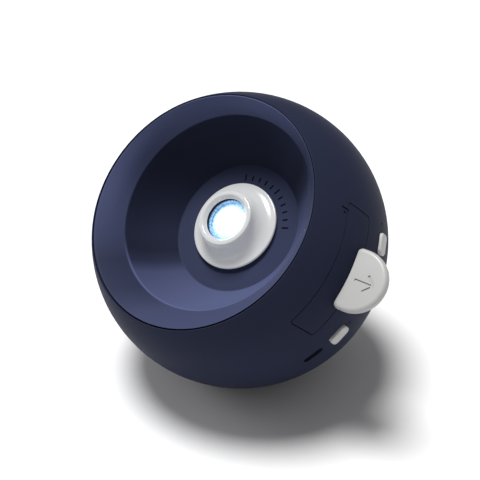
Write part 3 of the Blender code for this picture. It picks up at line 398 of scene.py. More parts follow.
navyLook = {
    "colour": (0.0190, 0.0225, 0.0450), "roughness": 0.50, "roughnessSpread": 0.08, "variation": 0.05,
    "grain": grainLook["size"], "bump": 0.12, "handling": 0.25, "smear": 0.07, "specular": 0.025,
}
whiteLook = {
    "colour": (0.45, 0.45, 0.445), "roughness": 0.20, "roughnessSpread": 0.06, "variation": 0.02,
    "grain": 900.0, "bump": 0.04, "handling": 0.3, "smear": 0.06, "coat": 0.35, "coatRoughness": 0.12,
}
noseLook = {
    **whiteLook, "colour": (0.37, 0.37, 0.366),
    "glow": 0.24, "glowColour": (0.93, 0.96, 1.0),  # painted glow: lamp light in the plastic, which also lifts the shaded flare
}
handleLook = {**whiteLook, "colour": (0.41, 0.41, 0.405), "roughness": 0.42, "coat": 0.06, "bump": 0.08}
buttonLook = {**handleLook, "colour": (0.45, 0.45, 0.445), "roughness": 0.46}
blackLook = {
    "colour": (0.012, 0.012, 0.014), "roughness": 0.42, "roughnessSpread": 0.1, "variation": 0.1,
    "grain": 1800.0, "bump": 0.15, "handling": 0.2, "smear": 0.05,
}
greyLook = {**blackLook, "colour": (0.15, 0.15, 0.16), "roughness": 0.5}
rubberLook = {**blackLook, "colour": (0.018, 0.018, 0.019), "roughness": 0.85, "bump": 0.35, "smear": 0.02}
foamLook = {**rubberLook, "grain": 700.0, "bump": 0.8, "roughness": 0.95}
paperLook = {**rubberLook, "grain": 480.0, "bump": 0.5, "roughness": 0.9}
steelLook = {
    "colour": (0.58, 0.58, 0.60), "roughness": 0.28, "roughnessSpread": 0.14, "variation": 0.06,
    "grain": 700.0, "bump": 0.08, "handling": 0.4, "smear": 0.05, "metallic": 1.0,
}
aluminiumLook = {**steelLook, "colour": (0.76, 0.77, 0.79), "roughness": 0.36}
ferriteLook = {**blackLook, "colour": (0.05, 0.05, 0.052), "roughness": 0.6, "bump": 0.4}
boardLook = {**blackLook, "colour": (0.018, 0.13, 0.055), "roughness": 0.38, "coat": 0.2}
sleeveLook = {**blackLook, "colour": (0.04, 0.16, 0.48), "roughness": 0.3, "coat": 0.3}
phosphorLook = {**whiteLook, "colour": (0.92, 0.74, 0.22)}
markLook = {
    **blackLook, "colour": (0.0035, 0.0040, 0.0070), "roughness": 0.9, "specular": 0.03, "bump": 0.05,
}

tracks = {"scale": 700.0, "width": 0.5, "height": 0.25, "mortar": 0.035, "colour": (0.05, 0.26, 0.11)}


def boardMaterial():
    # solder mask with copper tracks showing faintly under it
    made = plastic("solderMask", boardLook)
    tree = made.node_tree
    shader = tree.nodes["Principled BSDF"]
    pattern = tree.nodes.new("ShaderNodeTexBrick")
    tree.links.new(ballCoordinates(tree), pattern.inputs["Vector"])
    pattern.inputs["Scale"].default_value = tracks["scale"]
    pattern.inputs["Brick Width"].default_value = tracks["width"]
    pattern.inputs["Row Height"].default_value = tracks["height"]
    pattern.inputs["Mortar Size"].default_value = tracks["mortar"]
    base = shader.inputs["Base Color"].links[0].from_socket
    colour = blendColour(tree, pattern.outputs["Fac"], base, tracks["colour"])
    tree.links.new(colour, shader.inputs["Base Color"])
    return made


materials = {
    "navy": plastic("softNavy", navyLook),
    "white": plastic("glossWhitePaintedGlow", noseLook),
    "handle": plastic("satinWhite", handleLook),
    "button": plastic("buttonGrey", buttonLook),
    "black": plastic("mouldedBlack", blackLook),
    "grey": plastic("mouldedGrey", greyLook),
    "rubber": plastic("footRubber", rubberLook),
    "foam": plastic("gasketFoam", foamLook),
    "paper": plastic("conePaper", paperLook),
    "steel": plastic("platedSteel", steelLook),
    "aluminium": plastic("sinkAluminium", aluminiumLook),
    "ferrite": plastic("magnetFerrite", ferriteLook),
    "board": boardMaterial(),
    "sleeve": plastic("cellSleeve", sleeveLook),
    "phosphor": plastic("ledPhosphor", phosphorLook),
    "mark": plastic("printedMark", markLook),
}
print("materials made")


def rampNode(tree, value, stops):
    node = tree.nodes.new("ShaderNodeValToRGB")
    tree.links.new(value, node.inputs["Fac"])
    ramp = node.color_ramp
    while len(ramp.elements) > len(stops):
        ramp.elements.remove(ramp.elements[-1])
    while len(ramp.elements) < len(stops):
        ramp.elements.new(0.5)
    for element, (place, colour) in zip(ramp.elements, stops):
        element.position = place
        element.color = (*colour, 1.0)
    return node.outputs["Color"]


# Openings in the body shell; heights run along the optical axis from the ball's centre
shell = {
    "bay": {"width": 0.0446, "corner": 0.0014},
    "button": {"azimuth": 18.3, "height": -0.0017, "length": 0.0077, "width": 0.0050, "corner": 0.0016},
    "port": {"azimuth": -30.0, "height": -0.0007, "length": 0.0079, "width": 0.0029, "corner": 0.00125},
    "steps": 40,
}


def bayOutline(margin):
    low, high = plateLow.z - ball["gap"] + margin, plateHigh.z + ball["gap"] - margin
    wide = shell["bay"]["width"] / 2 - margin
    corner = shell["bay"]["corner"] - margin
    return rounded([(-wide, low, corner), (wide, low, corner), (wide, high, corner), (-wide, high, corner)])


def slotOutline(length, width, corner):
    u, v = length / 2, width / 2
    return rounded([(-u, -v, corner), (u, -v, corner), (u, v, corner), (-u, v, corner)])


def nodeInBall(node):
    # lowest and highest corner of a CAD node in the ball's own frame
    back = ballMatrix.inverted()
    points = [back @ v.co for v in frame["nodes"][node].data.vertices]
    return [Vector([f(p[i] for p in points) for i in range(3)]) for f in (min, max)]


plateLow, plateHigh = nodeInBall("cartridge_plate")


def shellOutline():
    start = degrees(asin(ball["mouthRadius"] / ball["radius"]))
    end = degrees(acos(ball["parting"] / ball["radius"]))
    innerStart = degrees(asin(ball["mouthRadius"] / innerRadius))
    innerEnd = degrees(acos(ball["parting"] / innerRadius))
    outside = arc(ball["radius"], start, end, shell["steps"])
    inside = arc(innerRadius, innerEnd, innerStart, shell["steps"])
    corners = [(r, z, 0) for r, z in outside + inside]
    corners[0] = (*outside[0], ball["creaseRound"])
    corners[shell["steps"]] = (*outside[-1], ball["partingRound"])
    return rounded(corners, steps=6)


def makeShell():
    piece = turned("ballShell", shellOutline())
    boolean(piece, slab("bayTool", bayOutline(0.0), "X", cutNear, cutFar))
    b = shell["button"]
    margin = 2 * ball["gap"]
    for side in (-1, 1):
        outline = slotOutline(b["length"] + margin, b["width"] + margin, b["corner"])
        tool = slab("buttonTool", outline, "X", cutNear, cutFar)
        boolean(piece, sideways(tool, side * radians(b["azimuth"]), b["height"]))
    p = shell["port"]
    tool = slab("portTool", slotOutline(p["length"], p["width"], p["corner"]), "X", cutNear, cutFar)
    boolean(piece, sideways(tool, radians(p["azimuth"]), p["height"]))
    return settle(piece, "ball", materials["navy"], ["body_shell"])


makeShell()
print("shell made")

# Front dish: rounded ring, bowl and floor
ringDrop, bowlDepth = 0.0095, 0.0181
dish = {
    "edge": ball["mouthRadius"] - ball["creaseGap"],
    "top": mouthZ - ball["creaseGap"],
    "rimRadius": 0.0370,
    "rimZ": mouthZ - ringDrop,
    "floorRadius": 0.0247,
    "floorZ": mouthZ - ringDrop - bowlDepth,
    "ringBulge": 0.0008,
    "bowlBulge": 0.0012,
    "rimRound": 0.0007,
    "edgeRound": 0.00015,
    "wall": 0.0020,
    "lip": 0.0016,
    "offset": 0.0031,
    "bore": 0.0148,
    "boreRound": 0.0002,
    "footRound": 0.0006,
    "wallAcross": 0.83,  # shares of the wall, square to the slope of the bowl
    "wallDown": 0.56,
    "footStep": 0.45,
}


def bowed(start, end, bulge, steps):
    # points from start to end, bowed sideways
    line = Vector(end) - Vector(start)
    across = Vector((line.y, -line.x)).normalized()
    points = []
    for i in range(steps + 1):
        along = i / steps
        points.append(tuple(Vector(start) + line * along + across * bulge * sin(pi * i / steps)))
    return points


def dishOutline():
    floor, wall, bore = dish["floorZ"], dish["wall"], dish["bore"]
    rim = (dish["rimRadius"], dish["rimZ"])
    foot = (dish["floorRadius"], floor)
    ring = bowed((dish["edge"], dish["top"]), rim, dish["ringBulge"], 14)
    bowl = bowed(rim, foot, -dish["bowlBulge"], 24)
    across, down = wall * dish["wallAcross"], wall * dish["wallDown"]
    corners = [(*ring[0], dish["edgeRound"])] + [(*p, 0) for p in ring[2:-3]]
    corners += [(*rim, dish["rimRound"])] + [(*p, 0) for p in bowl[3:-1]]
    corners += [(*foot, dish["footRound"]), (bore, floor, dish["boreRound"]), (bore, floor - wall, 0)]
    corners += [(foot[0] + wall * dish["footStep"], floor - wall, 0)]
    corners += [(r + across, z - down, 0) for r, z in bowl[-4:0:-4]]
    corners += [(rim[0] + across, rim[1] - down, 0)]
    corners += [(dish["edge"] - dish["lip"], dish["top"] - 2 * dish["lip"], 0)]
    return rounded(corners, steps=4)


def makeDish():
    # the bowl sits above the ring's axis: each circle of the ring moves its own share
    piece = turned("frontDish", dishOutline())
    fall = dish["top"] - dish["rimZ"]
    heights = sorted({round(v.co.z, 7) for v in piece.data.vertices if v.co.z > dish["rimZ"]})
    selectPoints(piece, lambda p: p.z <= dish["rimZ"])
    bpy.ops.transform.translate(value=(0, dish["offset"], 0))
    leaveEdit()
    for height in heights[:-1]:
        selectPoints(piece, lambda p: abs(p.z - height) < 1e-7)
        bpy.ops.transform.translate(value=(0, dish["offset"] * (dish["top"] - height) / fall, 0))
        leaveEdit()
    return piece


# painted light and shade on the dish, as tones that multiply the navy at places from -1 to 1 along "towards":
# a lighter ring and floor, a wall lit towards its lower right, and a painted highlight ("edge") along the rim
dishPaintedTones = {
    "floor": 1.75, "towards": (0.8, -0.75), "blur": 0.012, "edge": [(-0.3, 0.0), (0.1, 0.75)],
    "wall": [(-0.7, 0.85), (-0.35, 1.0), (-0.15, 0.8), (0.0, 1.2), (0.16, 2.7), (0.4, 3.2), (0.8, 3.8)],
    "ring": [(-0.8, 3.6), (-0.4, 2.6), (0.0, 1.4), (0.4, 1.4), (0.8, 2.2)],
    "brightest": 5.6,
}


def grey(value):
    return (value, value, value)


def paintedDishMaterial():
    # the navy moulding again with light and shade painted into its colour by place: a lighter ring and floor,
    # a wall that lightens towards its lower right, and a painted highlight along the rim
    made = materials["navy"].copy()
    made.name = "dishNavyPaintedLight"
    tree = made.node_tree
    shader = tree.nodes["Principled BSDF"]
    base = shader.inputs["Base Color"].links[0].from_socket
    split = tree.nodes.new("ShaderNodeSeparateXYZ")
    tree.links.new(ballCoordinates(tree), split.inputs["Vector"])
    height = mathNode(tree, "SUBTRACT", split.outputs["Z"], dish["floorZ"])
    height = mathNode(tree, "DIVIDE", height, mouthZ - dish["floorZ"], True)
    rim = (dish["rimZ"] - dish["floorZ"]) / (mouthZ - dish["floorZ"])
    blur = dishPaintedTones["blur"]
    wallStops = [(0.0, grey(0)), (blur, grey(1)), (rim - blur, grey(1)), (rim + blur, grey(0))]
    onWall = rampNode(tree, height, wallStops)
    onRing = rampNode(tree, height, [(rim - blur, grey(0)), (rim + blur, grey(1))])
    rimHighlightBand = rampNode(tree, height, [(rim - blur * 2, grey(0)), (rim, grey(1)), (rim + blur * 2, grey(0))])
    alongX = mathNode(tree, "MULTIPLY", split.outputs["X"], dishPaintedTones["towards"][0] / dish["rimRadius"] / 2)
    alongY = mathNode(tree, "MULTIPLY", split.outputs["Y"], dishPaintedTones["towards"][1] / dish["rimRadius"] / 2)
    share = mathNode(tree, "ADD", mathNode(tree, "ADD", alongX, alongY), 0.5, True)
    top = dishPaintedTones["brightest"]
    wallPaintedShade, ringPaintedLight = (
        rampNode(tree, share, [(place / 2 + 0.5, grey(value / top)) for place, value in dishPaintedTones[part]])
        for part in ("wall", "ring")
    )
    flat = blendColour(tree, onRing, grey(dishPaintedTones["floor"] / top), ringPaintedLight)
    tone = blendColour(tree, onWall, flat, wallPaintedShade)
    # painted highlight: a thin lighter band at the rim, stronger towards the lower right
    paintedRimHighlight = rampNode(tree, share, [(place / 2 + 0.5, grey(value)) for place, value in dishPaintedTones["edge"]])
    tone = blendColour(tree, blendColour(tree, 1.0, rimHighlightBand, paintedRimHighlight, "MULTIPLY"), tone, grey(1.0))
    bright = tree.nodes.new("ShaderNodeVectorMath")
    bright.operation = "SCALE"
    tree.links.new(blendColour(tree, 1.0, base, tone, "MULTIPLY"), bright.inputs[0])
    bright.inputs["Scale"].default_value = top
    tree.links.new(bright.outputs["Vector"], shader.inputs["Base Color"])
    return made


materials["dish"] = paintedDishMaterial()
settle(makeDish(), "ball", materials["dish"], ["front_dish"])
print("dish made")

# Focus nose, and the lit lens and its ring in the barrel
nose = {
    "hubZ": nodeInBall("focus_ring")[0].z,
    "tipZ": nodeInBall("focus_ring")[1].z,
    "gap": 0.0011,
    "flangeRadius": 0.0168,
    "flangeEdge": 0.0011,
    "tipRadius": 0.0106,
    "lip": 0.0016,
    "opening": 0.0079,
    "bore": 0.0097,
    "hub": 0.0118,
    "step": 0.0002,  # small ledge where the flare meets the lip
    "flareIn": 0.92,  # powers that shape the flare
    "flareUp": 1.05,
    "flareSteps": 24,
    "edgeRound": 0.0003,
    "underRound": 0.0004,
    "lipRound": 0.0006,
    "mouthRound": 0.0005,
    "mouthFlare": 0.0011,
}


def noseOutline():
    n = nose
    hubEnd, tip, step, edgeRound = n["hubZ"], n["tipZ"], n["step"], n["edgeRound"]
    flange = dish["floorZ"] + n["gap"]
    low, high = flange + n["flangeEdge"], tip - n["lip"]
    bore, hub, edge, opening = n["bore"], n["hub"], n["flangeRadius"], n["opening"]
    throat = n["tipRadius"] - step
    corners = [(bore, hubEnd, 0), (hub, hubEnd, 0), (hub, flange, 0)]
    corners += [(edge, flange, edgeRound), (edge, low - step / 2, n["underRound"])]
    for i in range(1, n["flareSteps"] + 1):
        turn = pi / 2 * i / n["flareSteps"]
        radius = throat + (edge - edgeRound - throat) * (1 - sin(turn)) ** n["flareIn"]
        corners.append((radius, low + (high - low) * (1 - cos(turn)) ** n["flareUp"], 0))
    corners += [(throat - step, high + 1.25 * step, step / 2), (n["tipRadius"], high + 2 * step, step)]
    corners += [(n["tipRadius"], tip, n["lipRound"]), (opening + n["mouthFlare"], tip, n["mouthRound"])]
    corners += [(opening, high + edgeRound, step / 2), (opening, high, 0), (bore, high, 0)]
    return rounded(corners, steps=6)


settle(turned("focusNose", noseOutline(), steps=160), "focus_ring", materials["white"],
       ["focus_ring"], shift=dish["offset"], angle=40)

lens = {
    "radius": 0.0080, "crown": 0.0020, "steps": 14, "glow": 1.12,
    "ringInside": 0.0072, "ringFoot": 0.0002, "ringSlope": 0.0005, "ringEdge": 0.0003,
    "spokes": 3.0, "rings": 1.6, "facets": 4.0, "ragged": 0.55, "bump": 0.1, "bumpDepth": 0.0001,
    "glass": (0.10, 0.16, 0.25), "roughness": 0.06, "coatRoughness": 0.02,
}


def lensMaterial():
    # coated glass lit from behind: white heart, cut-crystal sparkle, blue towards the rim
    made = bpy.data.materials.new("litLens")
    made.use_nodes = True
    tree = made.node_tree
    shader = tree.nodes["Principled BSDF"]
    vector = ballCoordinates(tree, dish["offset"])
    split = tree.nodes.new("ShaderNodeSeparateXYZ")
    tree.links.new(vector, split.inputs["Vector"])
    flat = tree.nodes.new("ShaderNodeCombineXYZ")
    tree.links.new(split.outputs["X"], flat.inputs["X"])
    tree.links.new(split.outputs["Y"], flat.inputs["Y"])
    length = tree.nodes.new("ShaderNodeVectorMath")
    length.operation = "LENGTH"
    tree.links.new(flat.outputs["Vector"], length.inputs[0])
    share = mathNode(tree, "DIVIDE", length.outputs["Value"], lens["radius"], True)
    turn = mathNode(tree, "ARCTAN2", split.outputs["Y"], split.outputs["X"])
    spokes = tree.nodes.new("ShaderNodeCombineXYZ")
    tree.links.new(mathNode(tree, "MULTIPLY", turn, lens["spokes"]), spokes.inputs["X"])
    tree.links.new(mathNode(tree, "MULTIPLY", share, lens["rings"]), spokes.inputs["Y"])
    facets = noiseNode(tree, spokes.outputs["Vector"], lens["facets"], 4.0, 0.7)
    ragged = mathNode(tree, "MULTIPLY", mathNode(tree, "SUBTRACT", facets, 0.5), lens["ragged"])
    edge = mathNode(tree, "ADD", share, ragged)
    colour = rampNode(tree, edge, [
        (0.0, (1.0, 1.0, 1.0)), (0.58, (0.92, 0.97, 1.0)), (0.76, (0.52, 0.74, 0.92)),
        (0.90, (0.22, 0.42, 0.66)), (1.0, (0.06, 0.14, 0.30)),
    ])
    tree.links.new(colour, shader.inputs["Emission Color"])
    tree.links.new(blendColour(tree, 0.5, colour, lens["glass"]), shader.inputs["Base Color"])
    shader.inputs["Emission Strength"].default_value = lens["glow"]
    shader.inputs["Roughness"].default_value = lens["roughness"]
    shader.inputs["Coat Weight"].default_value = 1.0
    shader.inputs["Coat Roughness"].default_value = lens["coatRoughness"]
    bump = tree.nodes.new("ShaderNodeBump")
    bump.inputs["Strength"].default_value = lens["bump"]
    bump.inputs["Distance"].default_value = lens["bumpDepth"]
    tree.links.new(facets, bump.inputs["Height"])
    tree.links.new(bump.outputs["Normal"], shader.inputs["Normal"])
    return made


def lensOutline(node):
    low, high = nodeInBall(node)
    top = high.z - low.z - lens["crown"]
    shares = [i / lens["steps"] for i in range(lens["steps"], -1, -1)]
    dome = [(lens["radius"] * s, low.z + top + lens["crown"] * (1 - s * s)) for s in shares]
    return [(0.0, low.z), (lens["radius"], low.z)] + dome


def lensRingOutline():
    low, high = nodeInBall("lens_retainer")
    inside, outside = lens["ringInside"], lens["radius"]
    corners = [(inside + lens["ringFoot"], low.z), (outside, low.z), (outside, high.z)]
    return corners + [(inside + lens["ringSlope"], high.z), (inside, low.z + lens["ringEdge"])]


materials["lens"] = lensMaterial()
settle(turned("lensRing", lensRingOutline(), steps=40), "lens_barrel", materials["lens"],
       ["lens_retainer"], shift=dish["offset"], angle=0)
settle(turned("litLens", lensOutline("front_lens"), steps=96, closed=False), "lens_barrel", materials["lens"],
       ["front_lens"], shift=dish["offset"], angle=35)
print("nose and lens made")

# Cartridge: end plate and handle
handleLow, handleHigh = nodeInBall("cartridge_handle")
cartridge = {
    "handleRadius": 0.0110,
    "handleReach": handleHigh.x,
    "handleBack": handleLow.z,
    "handleFront": handleHigh.z,
    "handleInset": 0.0029,
    "rimSteps": 40,
    "handleCorner": 0.0021,
    "edgeRound": 0.0014,
    "arrow": {"start": 0.0560, "end": 0.0630, "head": 0.0029, "width": 0.0008, "depth": 0.0004},
    "neckWidth": 0.0160,
    "neckThickness": 0.0021,
    "neckRoot": handleLow.x,
    "zone": (60, 88, 30),  # degrees from the axis, and steps, of the ball's wall that the plate is cut from
}


def rectangle(left, right, low, high):
    return [(left, low), (right, low), (right, high), (left, high)]


def makePlate():
    piece = slab("cartridgePlate", bayOutline(ball["gap"]), "X", cutNear, cutFar)
    top, bottom, steps = cartridge["zone"]
    zone = turned("plateZone", arc(ball["radius"], top, bottom, steps) + arc(innerRadius, bottom, top, steps))
    boolean(piece, zone, "INTERSECT")
    half = cartridge["neckWidth"] / 2 + ball["gap"]
    middle = (cartridge["handleBack"] + cartridge["handleFront"]) / 2
    thick = cartridge["neckThickness"] / 2 + ball["gap"]
    outline = rectangle(-half, half, middle - thick, middle + thick)
    boolean(piece, slab("neckTool", outline, "X", cutNear, cutFar))
    return piece


def stroke(name, start, end, width, low, high):
    # a straight mark with square ends, lying across Z
    start, end = Vector(start), Vector(end)
    along = (end - start).normalized()
    side = Vector((-along.y, along.x)) * width / 2
    corners = [start - side, end - side, end + side, start + side]
    return slab(name, [tuple(c) for c in corners], "Z", low, high)


def joined(pieces):
    deselectAll()
    for piece in pieces:
        piece.select_set(True)
    bpy.context.view_layer.objects.active = pieces[0]
    bpy.ops.object.join()
    return pieces[0]


def cutArrow(piece):
    # a shallow arrow: which way the cartridge pulls out
    a = cartridge["arrow"]
    low, high = cartridge["handleFront"] - a["depth"], cartridge["handleFront"] + a["depth"]
    tip = (a["end"], 0)
    for name, tail in (("arrowShaft", (a["start"], 0)), ("arrowLeft", (a["end"] - a["head"], a["head"])),
                       ("arrowRight", (a["end"] - a["head"], -a["head"]))):
        boolean(piece, stroke(name, tail, tip, a["width"], low, high))


def makeHandle():
    c = cartridge
    radius, corner = c["handleRadius"], c["handleCorner"]
    centre = c["handleReach"] - radius
    near = ball["radius"] - c["handleInset"]
    turns = [pi * i / c["rimSteps"] for i in range(c["rimSteps"] + 1)]
    rim = [(centre + radius * sin(t), -radius * cos(t), 0) for t in turns]
    corners = [(near, -radius, corner)] + rim + [(near, radius, corner)]
    outline = rounded([(u, v, r and corner) for u, v, r in corners], steps=6)
    piece = slab("cartridgeHandle", outline, "Z", c["handleBack"], c["handleFront"])
    roundEdges(piece, c["edgeRound"], 6)
    seat = turned("handleSeat", arc(ball["radius"] + ball["gap"], 0, 180, 60), closed=False)
    boolean(piece, seat, solver="MANIFOLD")
    half, thick = c["neckWidth"] / 2, c["neckThickness"] / 2
    middle = (c["handleBack"] + c["handleFront"]) / 2
    outline = rectangle(c["neckRoot"], centre, -half, half)
    boolean(piece, slab("handleNeck", outline, "Z", middle - thick, middle + thick), "UNION")
    cutArrow(piece)
    return piece


settle(makePlate(), "cartridge", materials["navy"], ["cartridge_plate"])
settle(makeHandle(), "cartridge", materials["handle"], ["cartridge_handle"], angle=50)
print("cartridge made")

# Two buttons, one each side of the handle
button = {"proud": 0.0010, "round": 0.0006, "flange": 0.0008, "flangeThickness": 0.0007}


def makeButton(name, node, side):
    b = shell["button"]
    top = ball["radius"] + button["proud"]
    flangeTop = innerRadius - 2 * ball["gap"]
    flangeLow = flangeTop - button["flangeThickness"]
    cap = slab(name, slotOutline(b["length"], b["width"], b["corner"]), "X", flangeLow + ball["gap"], top)
    roundEdges(cap, button["round"], 5)
    grow = 2 * button["flange"]
    outline = slotOutline(b["length"] + grow, b["width"] + grow, b["corner"])
    boolean(cap, slab("flangeTool", outline, "X", flangeLow, flangeTop), "UNION")
    sideways(cap, side * radians(b["azimuth"]), b["height"])
    return settle(cap, node, materials["button"], [node], angle=40)


makeButton("powerButton", "power_button", -1)
makeButton("playButton", "play_button", 1)
print("buttons made")

# Small marks: focus scale on the dish floor, signs beside the buttons
marks = {
    "scale": {"inner": 0.0187, "outer": 0.0206, "longer": 0.0006, "width": 0.00045, "raised": 0.00016,
              "first": 18, "last": 108, "count": 11, "longEvery": 5},
    "depth": 0.00012,
    "raised": 0.00002,
    "line": 0.00028,
    "round": 24,  # sides of the round sign
    "zone": (50, 110, 60),  # degrees from the axis, and steps, of the surface that the marks are cut from
    "powerSign": {"azimuth": -12.6, "height": -0.0024, "radius": 0.0007},
    "playSign": {"azimuth": 26.0, "height": -0.0009, "radius": 0.00066},
    "dashes": [(0.0195, 0.0211, 0.0241), (0.0182, 0.0221, 0.0232)],  # across, first and last height
}


def makeFocusScale():
    m = marks["scale"]
    low, high = dish["floorZ"] - m["raised"], dish["floorZ"] + m["raised"]
    ticks = []
    for i in range(m["count"]):
        turn = radians(m["first"] + (m["last"] - m["first"]) * i / (m["count"] - 1))
        outer = m["outer"] + (m["longer"] if i % m["longEvery"] == 0 else 0)
        start, end = ((r * cos(turn), r * sin(turn)) for r in (m["inner"], outer))
        ticks.append(stroke("tick", start, end, m["width"], low, high))
    scale = joined(ticks)
    scale.name = "focusScale"
    return scale


def signOutline(centre, radius, count, start=0.0):
    turns = [start + 2 * pi * i / count for i in range(count)]
    return [(centre[0] + radius * cos(t), centre[1] + radius * sin(t)) for t in turns]


def makeSideMarks():
    # thin inlays in the ball's surface, cut from slabs by a thin spherical zone
    line = marks["line"]
    power, play = marks["powerSign"], marks["playSign"]
    powerPlace, playPlace = (
        (ball["radius"] * sin(radians(sign["azimuth"])), sign["height"]) for sign in (power, play)
    )
    ring = slab("powerSign", signOutline(powerPlace, power["radius"], marks["round"]), "X", cutNear, cutFar)
    hole = signOutline(powerPlace, power["radius"] - line, marks["round"])
    boolean(ring, slab("signHole", hole, "X", cutNear - line, cutFar + line))
    pieces = [ring, slab("playSign", signOutline(playPlace, play["radius"], 3, pi / 2), "X", cutNear, cutFar)]
    for across, first, last in marks["dashes"]:
        outline = rectangle(across - line, across + line, first, last)
        pieces.append(slab("dash", outline, "X", cutNear, cutFar))
    signs = joined(pieces)
    signs.name = "sideMarks"
    inner, outer = ball["radius"] - marks["depth"], ball["radius"] + marks["raised"]
    top, bottom, steps = marks["zone"]
    zone = turned("signZone", arc(outer, top, bottom, steps) + arc(inner, bottom, top, steps))
    return boolean(signs, zone, "INTERSECT")


settle(makeFocusScale(), "ball", materials["mark"], shift=dish["offset"], angle=0)
settle(makeSideMarks(), "ball", materials["mark"], angle=0)
print("marks made")

# Rear cover, screws, speaker grille and foot
cover = {
    "parting": ball["parting"] - ball["gap"],
    "spigot": 0.0030,
    "spigotWall": 0.0015,
    "baseFlat": 0.0523,
    "bossRadius": 0.0036,
    "screwCircle": 0.0425,
    "screwTurns": (35, 145, 215, 325),
    "headRadius": 0.0022,
    "screwRadius": 0.0010,
    "seat": -0.0295,
    "opening": 0.0186,
    "mouthFlare": 0.0024,
}
grille = {"thickness": 0.0014, "holeRadius": 0.0011, "pitch": 0.0056, "rings": 2, "edgeRound": 0.0003}
screw = {
    "headHeight": 0.0013, "headRound": 0.0007, "length": 0.0125,
    "crossWidth": 0.0006, "crossReach": 0.0014, "crossDepth": 0.0008,
}
foot = {
    "radius": 0.0150, "thickness": 0.0012, "edge": 0.0004,
    "grooves": (0.0050, 0.0085, 0.0120), "grooveDepth": 0.0003,
}
baseHeight = ball["centreHeight"] - cover["baseFlat"]


def rod(name, radius, low, high, place=(0, 0), steps=32):
    piece = turned(name, [(0, low), (radius, low), (radius, high), (0, high)], steps=steps, closed=False)
    piece.location = (*place, 0)
    return applyPlace(piece)


def worldSlab(name, height):
    # everything below a level plane, in the ball's own frame
    deselectAll()
    reach = 4 * ball["radius"]
    bpy.ops.mesh.primitive_cube_add(size=reach, location=(0, 0, height - reach / 2))
    piece = bpy.context.object
    piece.name = name
    piece.matrix_world = ballMatrix.inverted() @ piece.matrix_world
    return applyPlace(piece)


def screwPlaces():
    for turn in cover["screwTurns"]:
        yield cover["screwCircle"] * cos(radians(turn)), cover["screwCircle"] * sin(radians(turn))


def makeCover():
    parting, radius = cover["parting"], ball["radius"]
    spigot = sqrt(innerRadius ** 2 - ball["parting"] ** 2) - ball["gap"]
    bore = spigot - cover["spigotWall"]
    top = parting + cover["spigot"]
    outside = [(r, z, 0) for r, z in arc(radius, degrees(acos(parting / radius)), 180, 48)]
    outside[0] = (*outside[0][:2], ball["partingRound"])
    profile = [(0, top, 0), (spigot, top, 0), (spigot, parting, 0)] + outside
    piece = turned("rearCover", rounded(profile, closed=False), closed=False)
    inside = arc(innerRadius, 180 - degrees(asin(bore / innerRadius)), 180, 40)
    hollowTop = top + cover["spigot"]
    cavity = turned("coverCavity", [(0, hollowTop), (bore, hollowTop)] + inside, closed=False)
    boolean(cavity, worldSlab("cavityFloor", baseHeight + ball["wall"]))
    head = cover["headRadius"] + ball["gap"]
    for place in screwPlaces():
        boolean(cavity, rod("boss", cover["bossRadius"], -cutFar, parting - ball["gap"], place))
    boolean(piece, worldSlab("baseFlat", baseHeight))
    boolean(piece, cavity)
    shaft, seat = cover["screwRadius"] + ball["gap"], cover["seat"]
    for place in screwPlaces():
        boolean(piece, rod("counterbore", head, -cutFar, seat, place))
        boolean(piece, rod("screwHole", shaft, seat - ball["gap"], top / 2, place))
    opening = cover["opening"]
    surface = -sqrt(radius ** 2 - opening ** 2)
    mouth = [(0, -cutFar), (opening + cover["mouthFlare"], -cutFar), (opening, surface + ball["gap"])]
    mouth += [(opening, -cutNear), (0, -cutNear)]
    boolean(piece, turned("speakerOpening", mouth, closed=False))
    return piece


def makeGrille():
    radius = ball["radius"]
    edge = cover["opening"] - ball["gap"]
    inner = radius - grille["thickness"]
    outside = [(r, z, 0) for r, z in arc(radius, 180, 180 - degrees(asin(edge / radius)), 24)]
    inside = [(r, z, 0) for r, z in arc(inner, 180 - degrees(asin(edge / inner)), 180, 24)]
    outside[-1] = (*outside[-1][:2], grille["edgeRound"])
    piece = turned("speakerGrille", rounded(outside + inside, closed=False), steps=96, closed=False)
    places = [(0.0, 0.0)]
    for ring in range(1, grille["rings"] + 1):
        turns = [2 * pi * i / (6 * ring) for i in range(6 * ring)]
        places += [(grille["pitch"] * ring * cos(t), grille["pitch"] * ring * sin(t)) for t in turns]
    hole = grille["holeRadius"]
    tools = []
    for x, y in places:
        surface = -sqrt(radius ** 2 - x * x - y * y)
        flare = [(0, surface - hole), (hole * 2, surface - hole), (hole, surface + hole * 0.25)]
        tool = turned("grilleHole", flare + [(hole, -cutNear), (0, -cutNear)], steps=20, closed=False)
        tool.location = (x, y, 0)
        tools.append(tool)
    return boolean(piece, applyPlace(joined(tools)))


def makeScrew(place, number):
    seat = cover["seat"] - ball["gap"]
    head = seat - screw["headHeight"]
    wide, thin, tip = cover["headRadius"], cover["screwRadius"], seat + screw["length"]
    outline = [(0, head, 0), (wide, head, screw["headRound"]), (wide, seat, 0)]
    outline += [(thin, seat, 0), (thin, tip - thin, 0), (0, tip, 0)]
    piece = turned("coverScrew" + str(number), rounded(outline, closed=False), steps=32, closed=False)
    reach, width = screw["crossReach"], screw["crossWidth"]
    low, high = head - screw["headHeight"], head + screw["crossDepth"]
    boolean(piece, stroke("crossRecess", (-reach, 0), (reach, 0), width, low, high))
    boolean(piece, stroke("crossRecess", (0, -reach), (0, reach), width, low, high))
    piece.location = (*place, 0)
    return applyPlace(piece)


def makeFoot():
    # grooved rubber pad, modelled standing on the floor
    f, deep = foot, foot["grooveDepth"]
    corners = [(0, 0, 0)]
    for radius in f["grooves"]:
        corners += [(radius - deep, 0, 0), (radius, deep, 0), (radius + deep, 0, 0)]
    corners += [(f["radius"], 0, f["edge"]), (f["radius"], f["thickness"], 0), (0, f["thickness"], 0)]
    piece = turned("footPad", rounded(corners, closed=False), steps=96, closed=False)
    piece.matrix_world = ballMatrix.inverted() @ piece.matrix_world
    return applyPlace(piece)


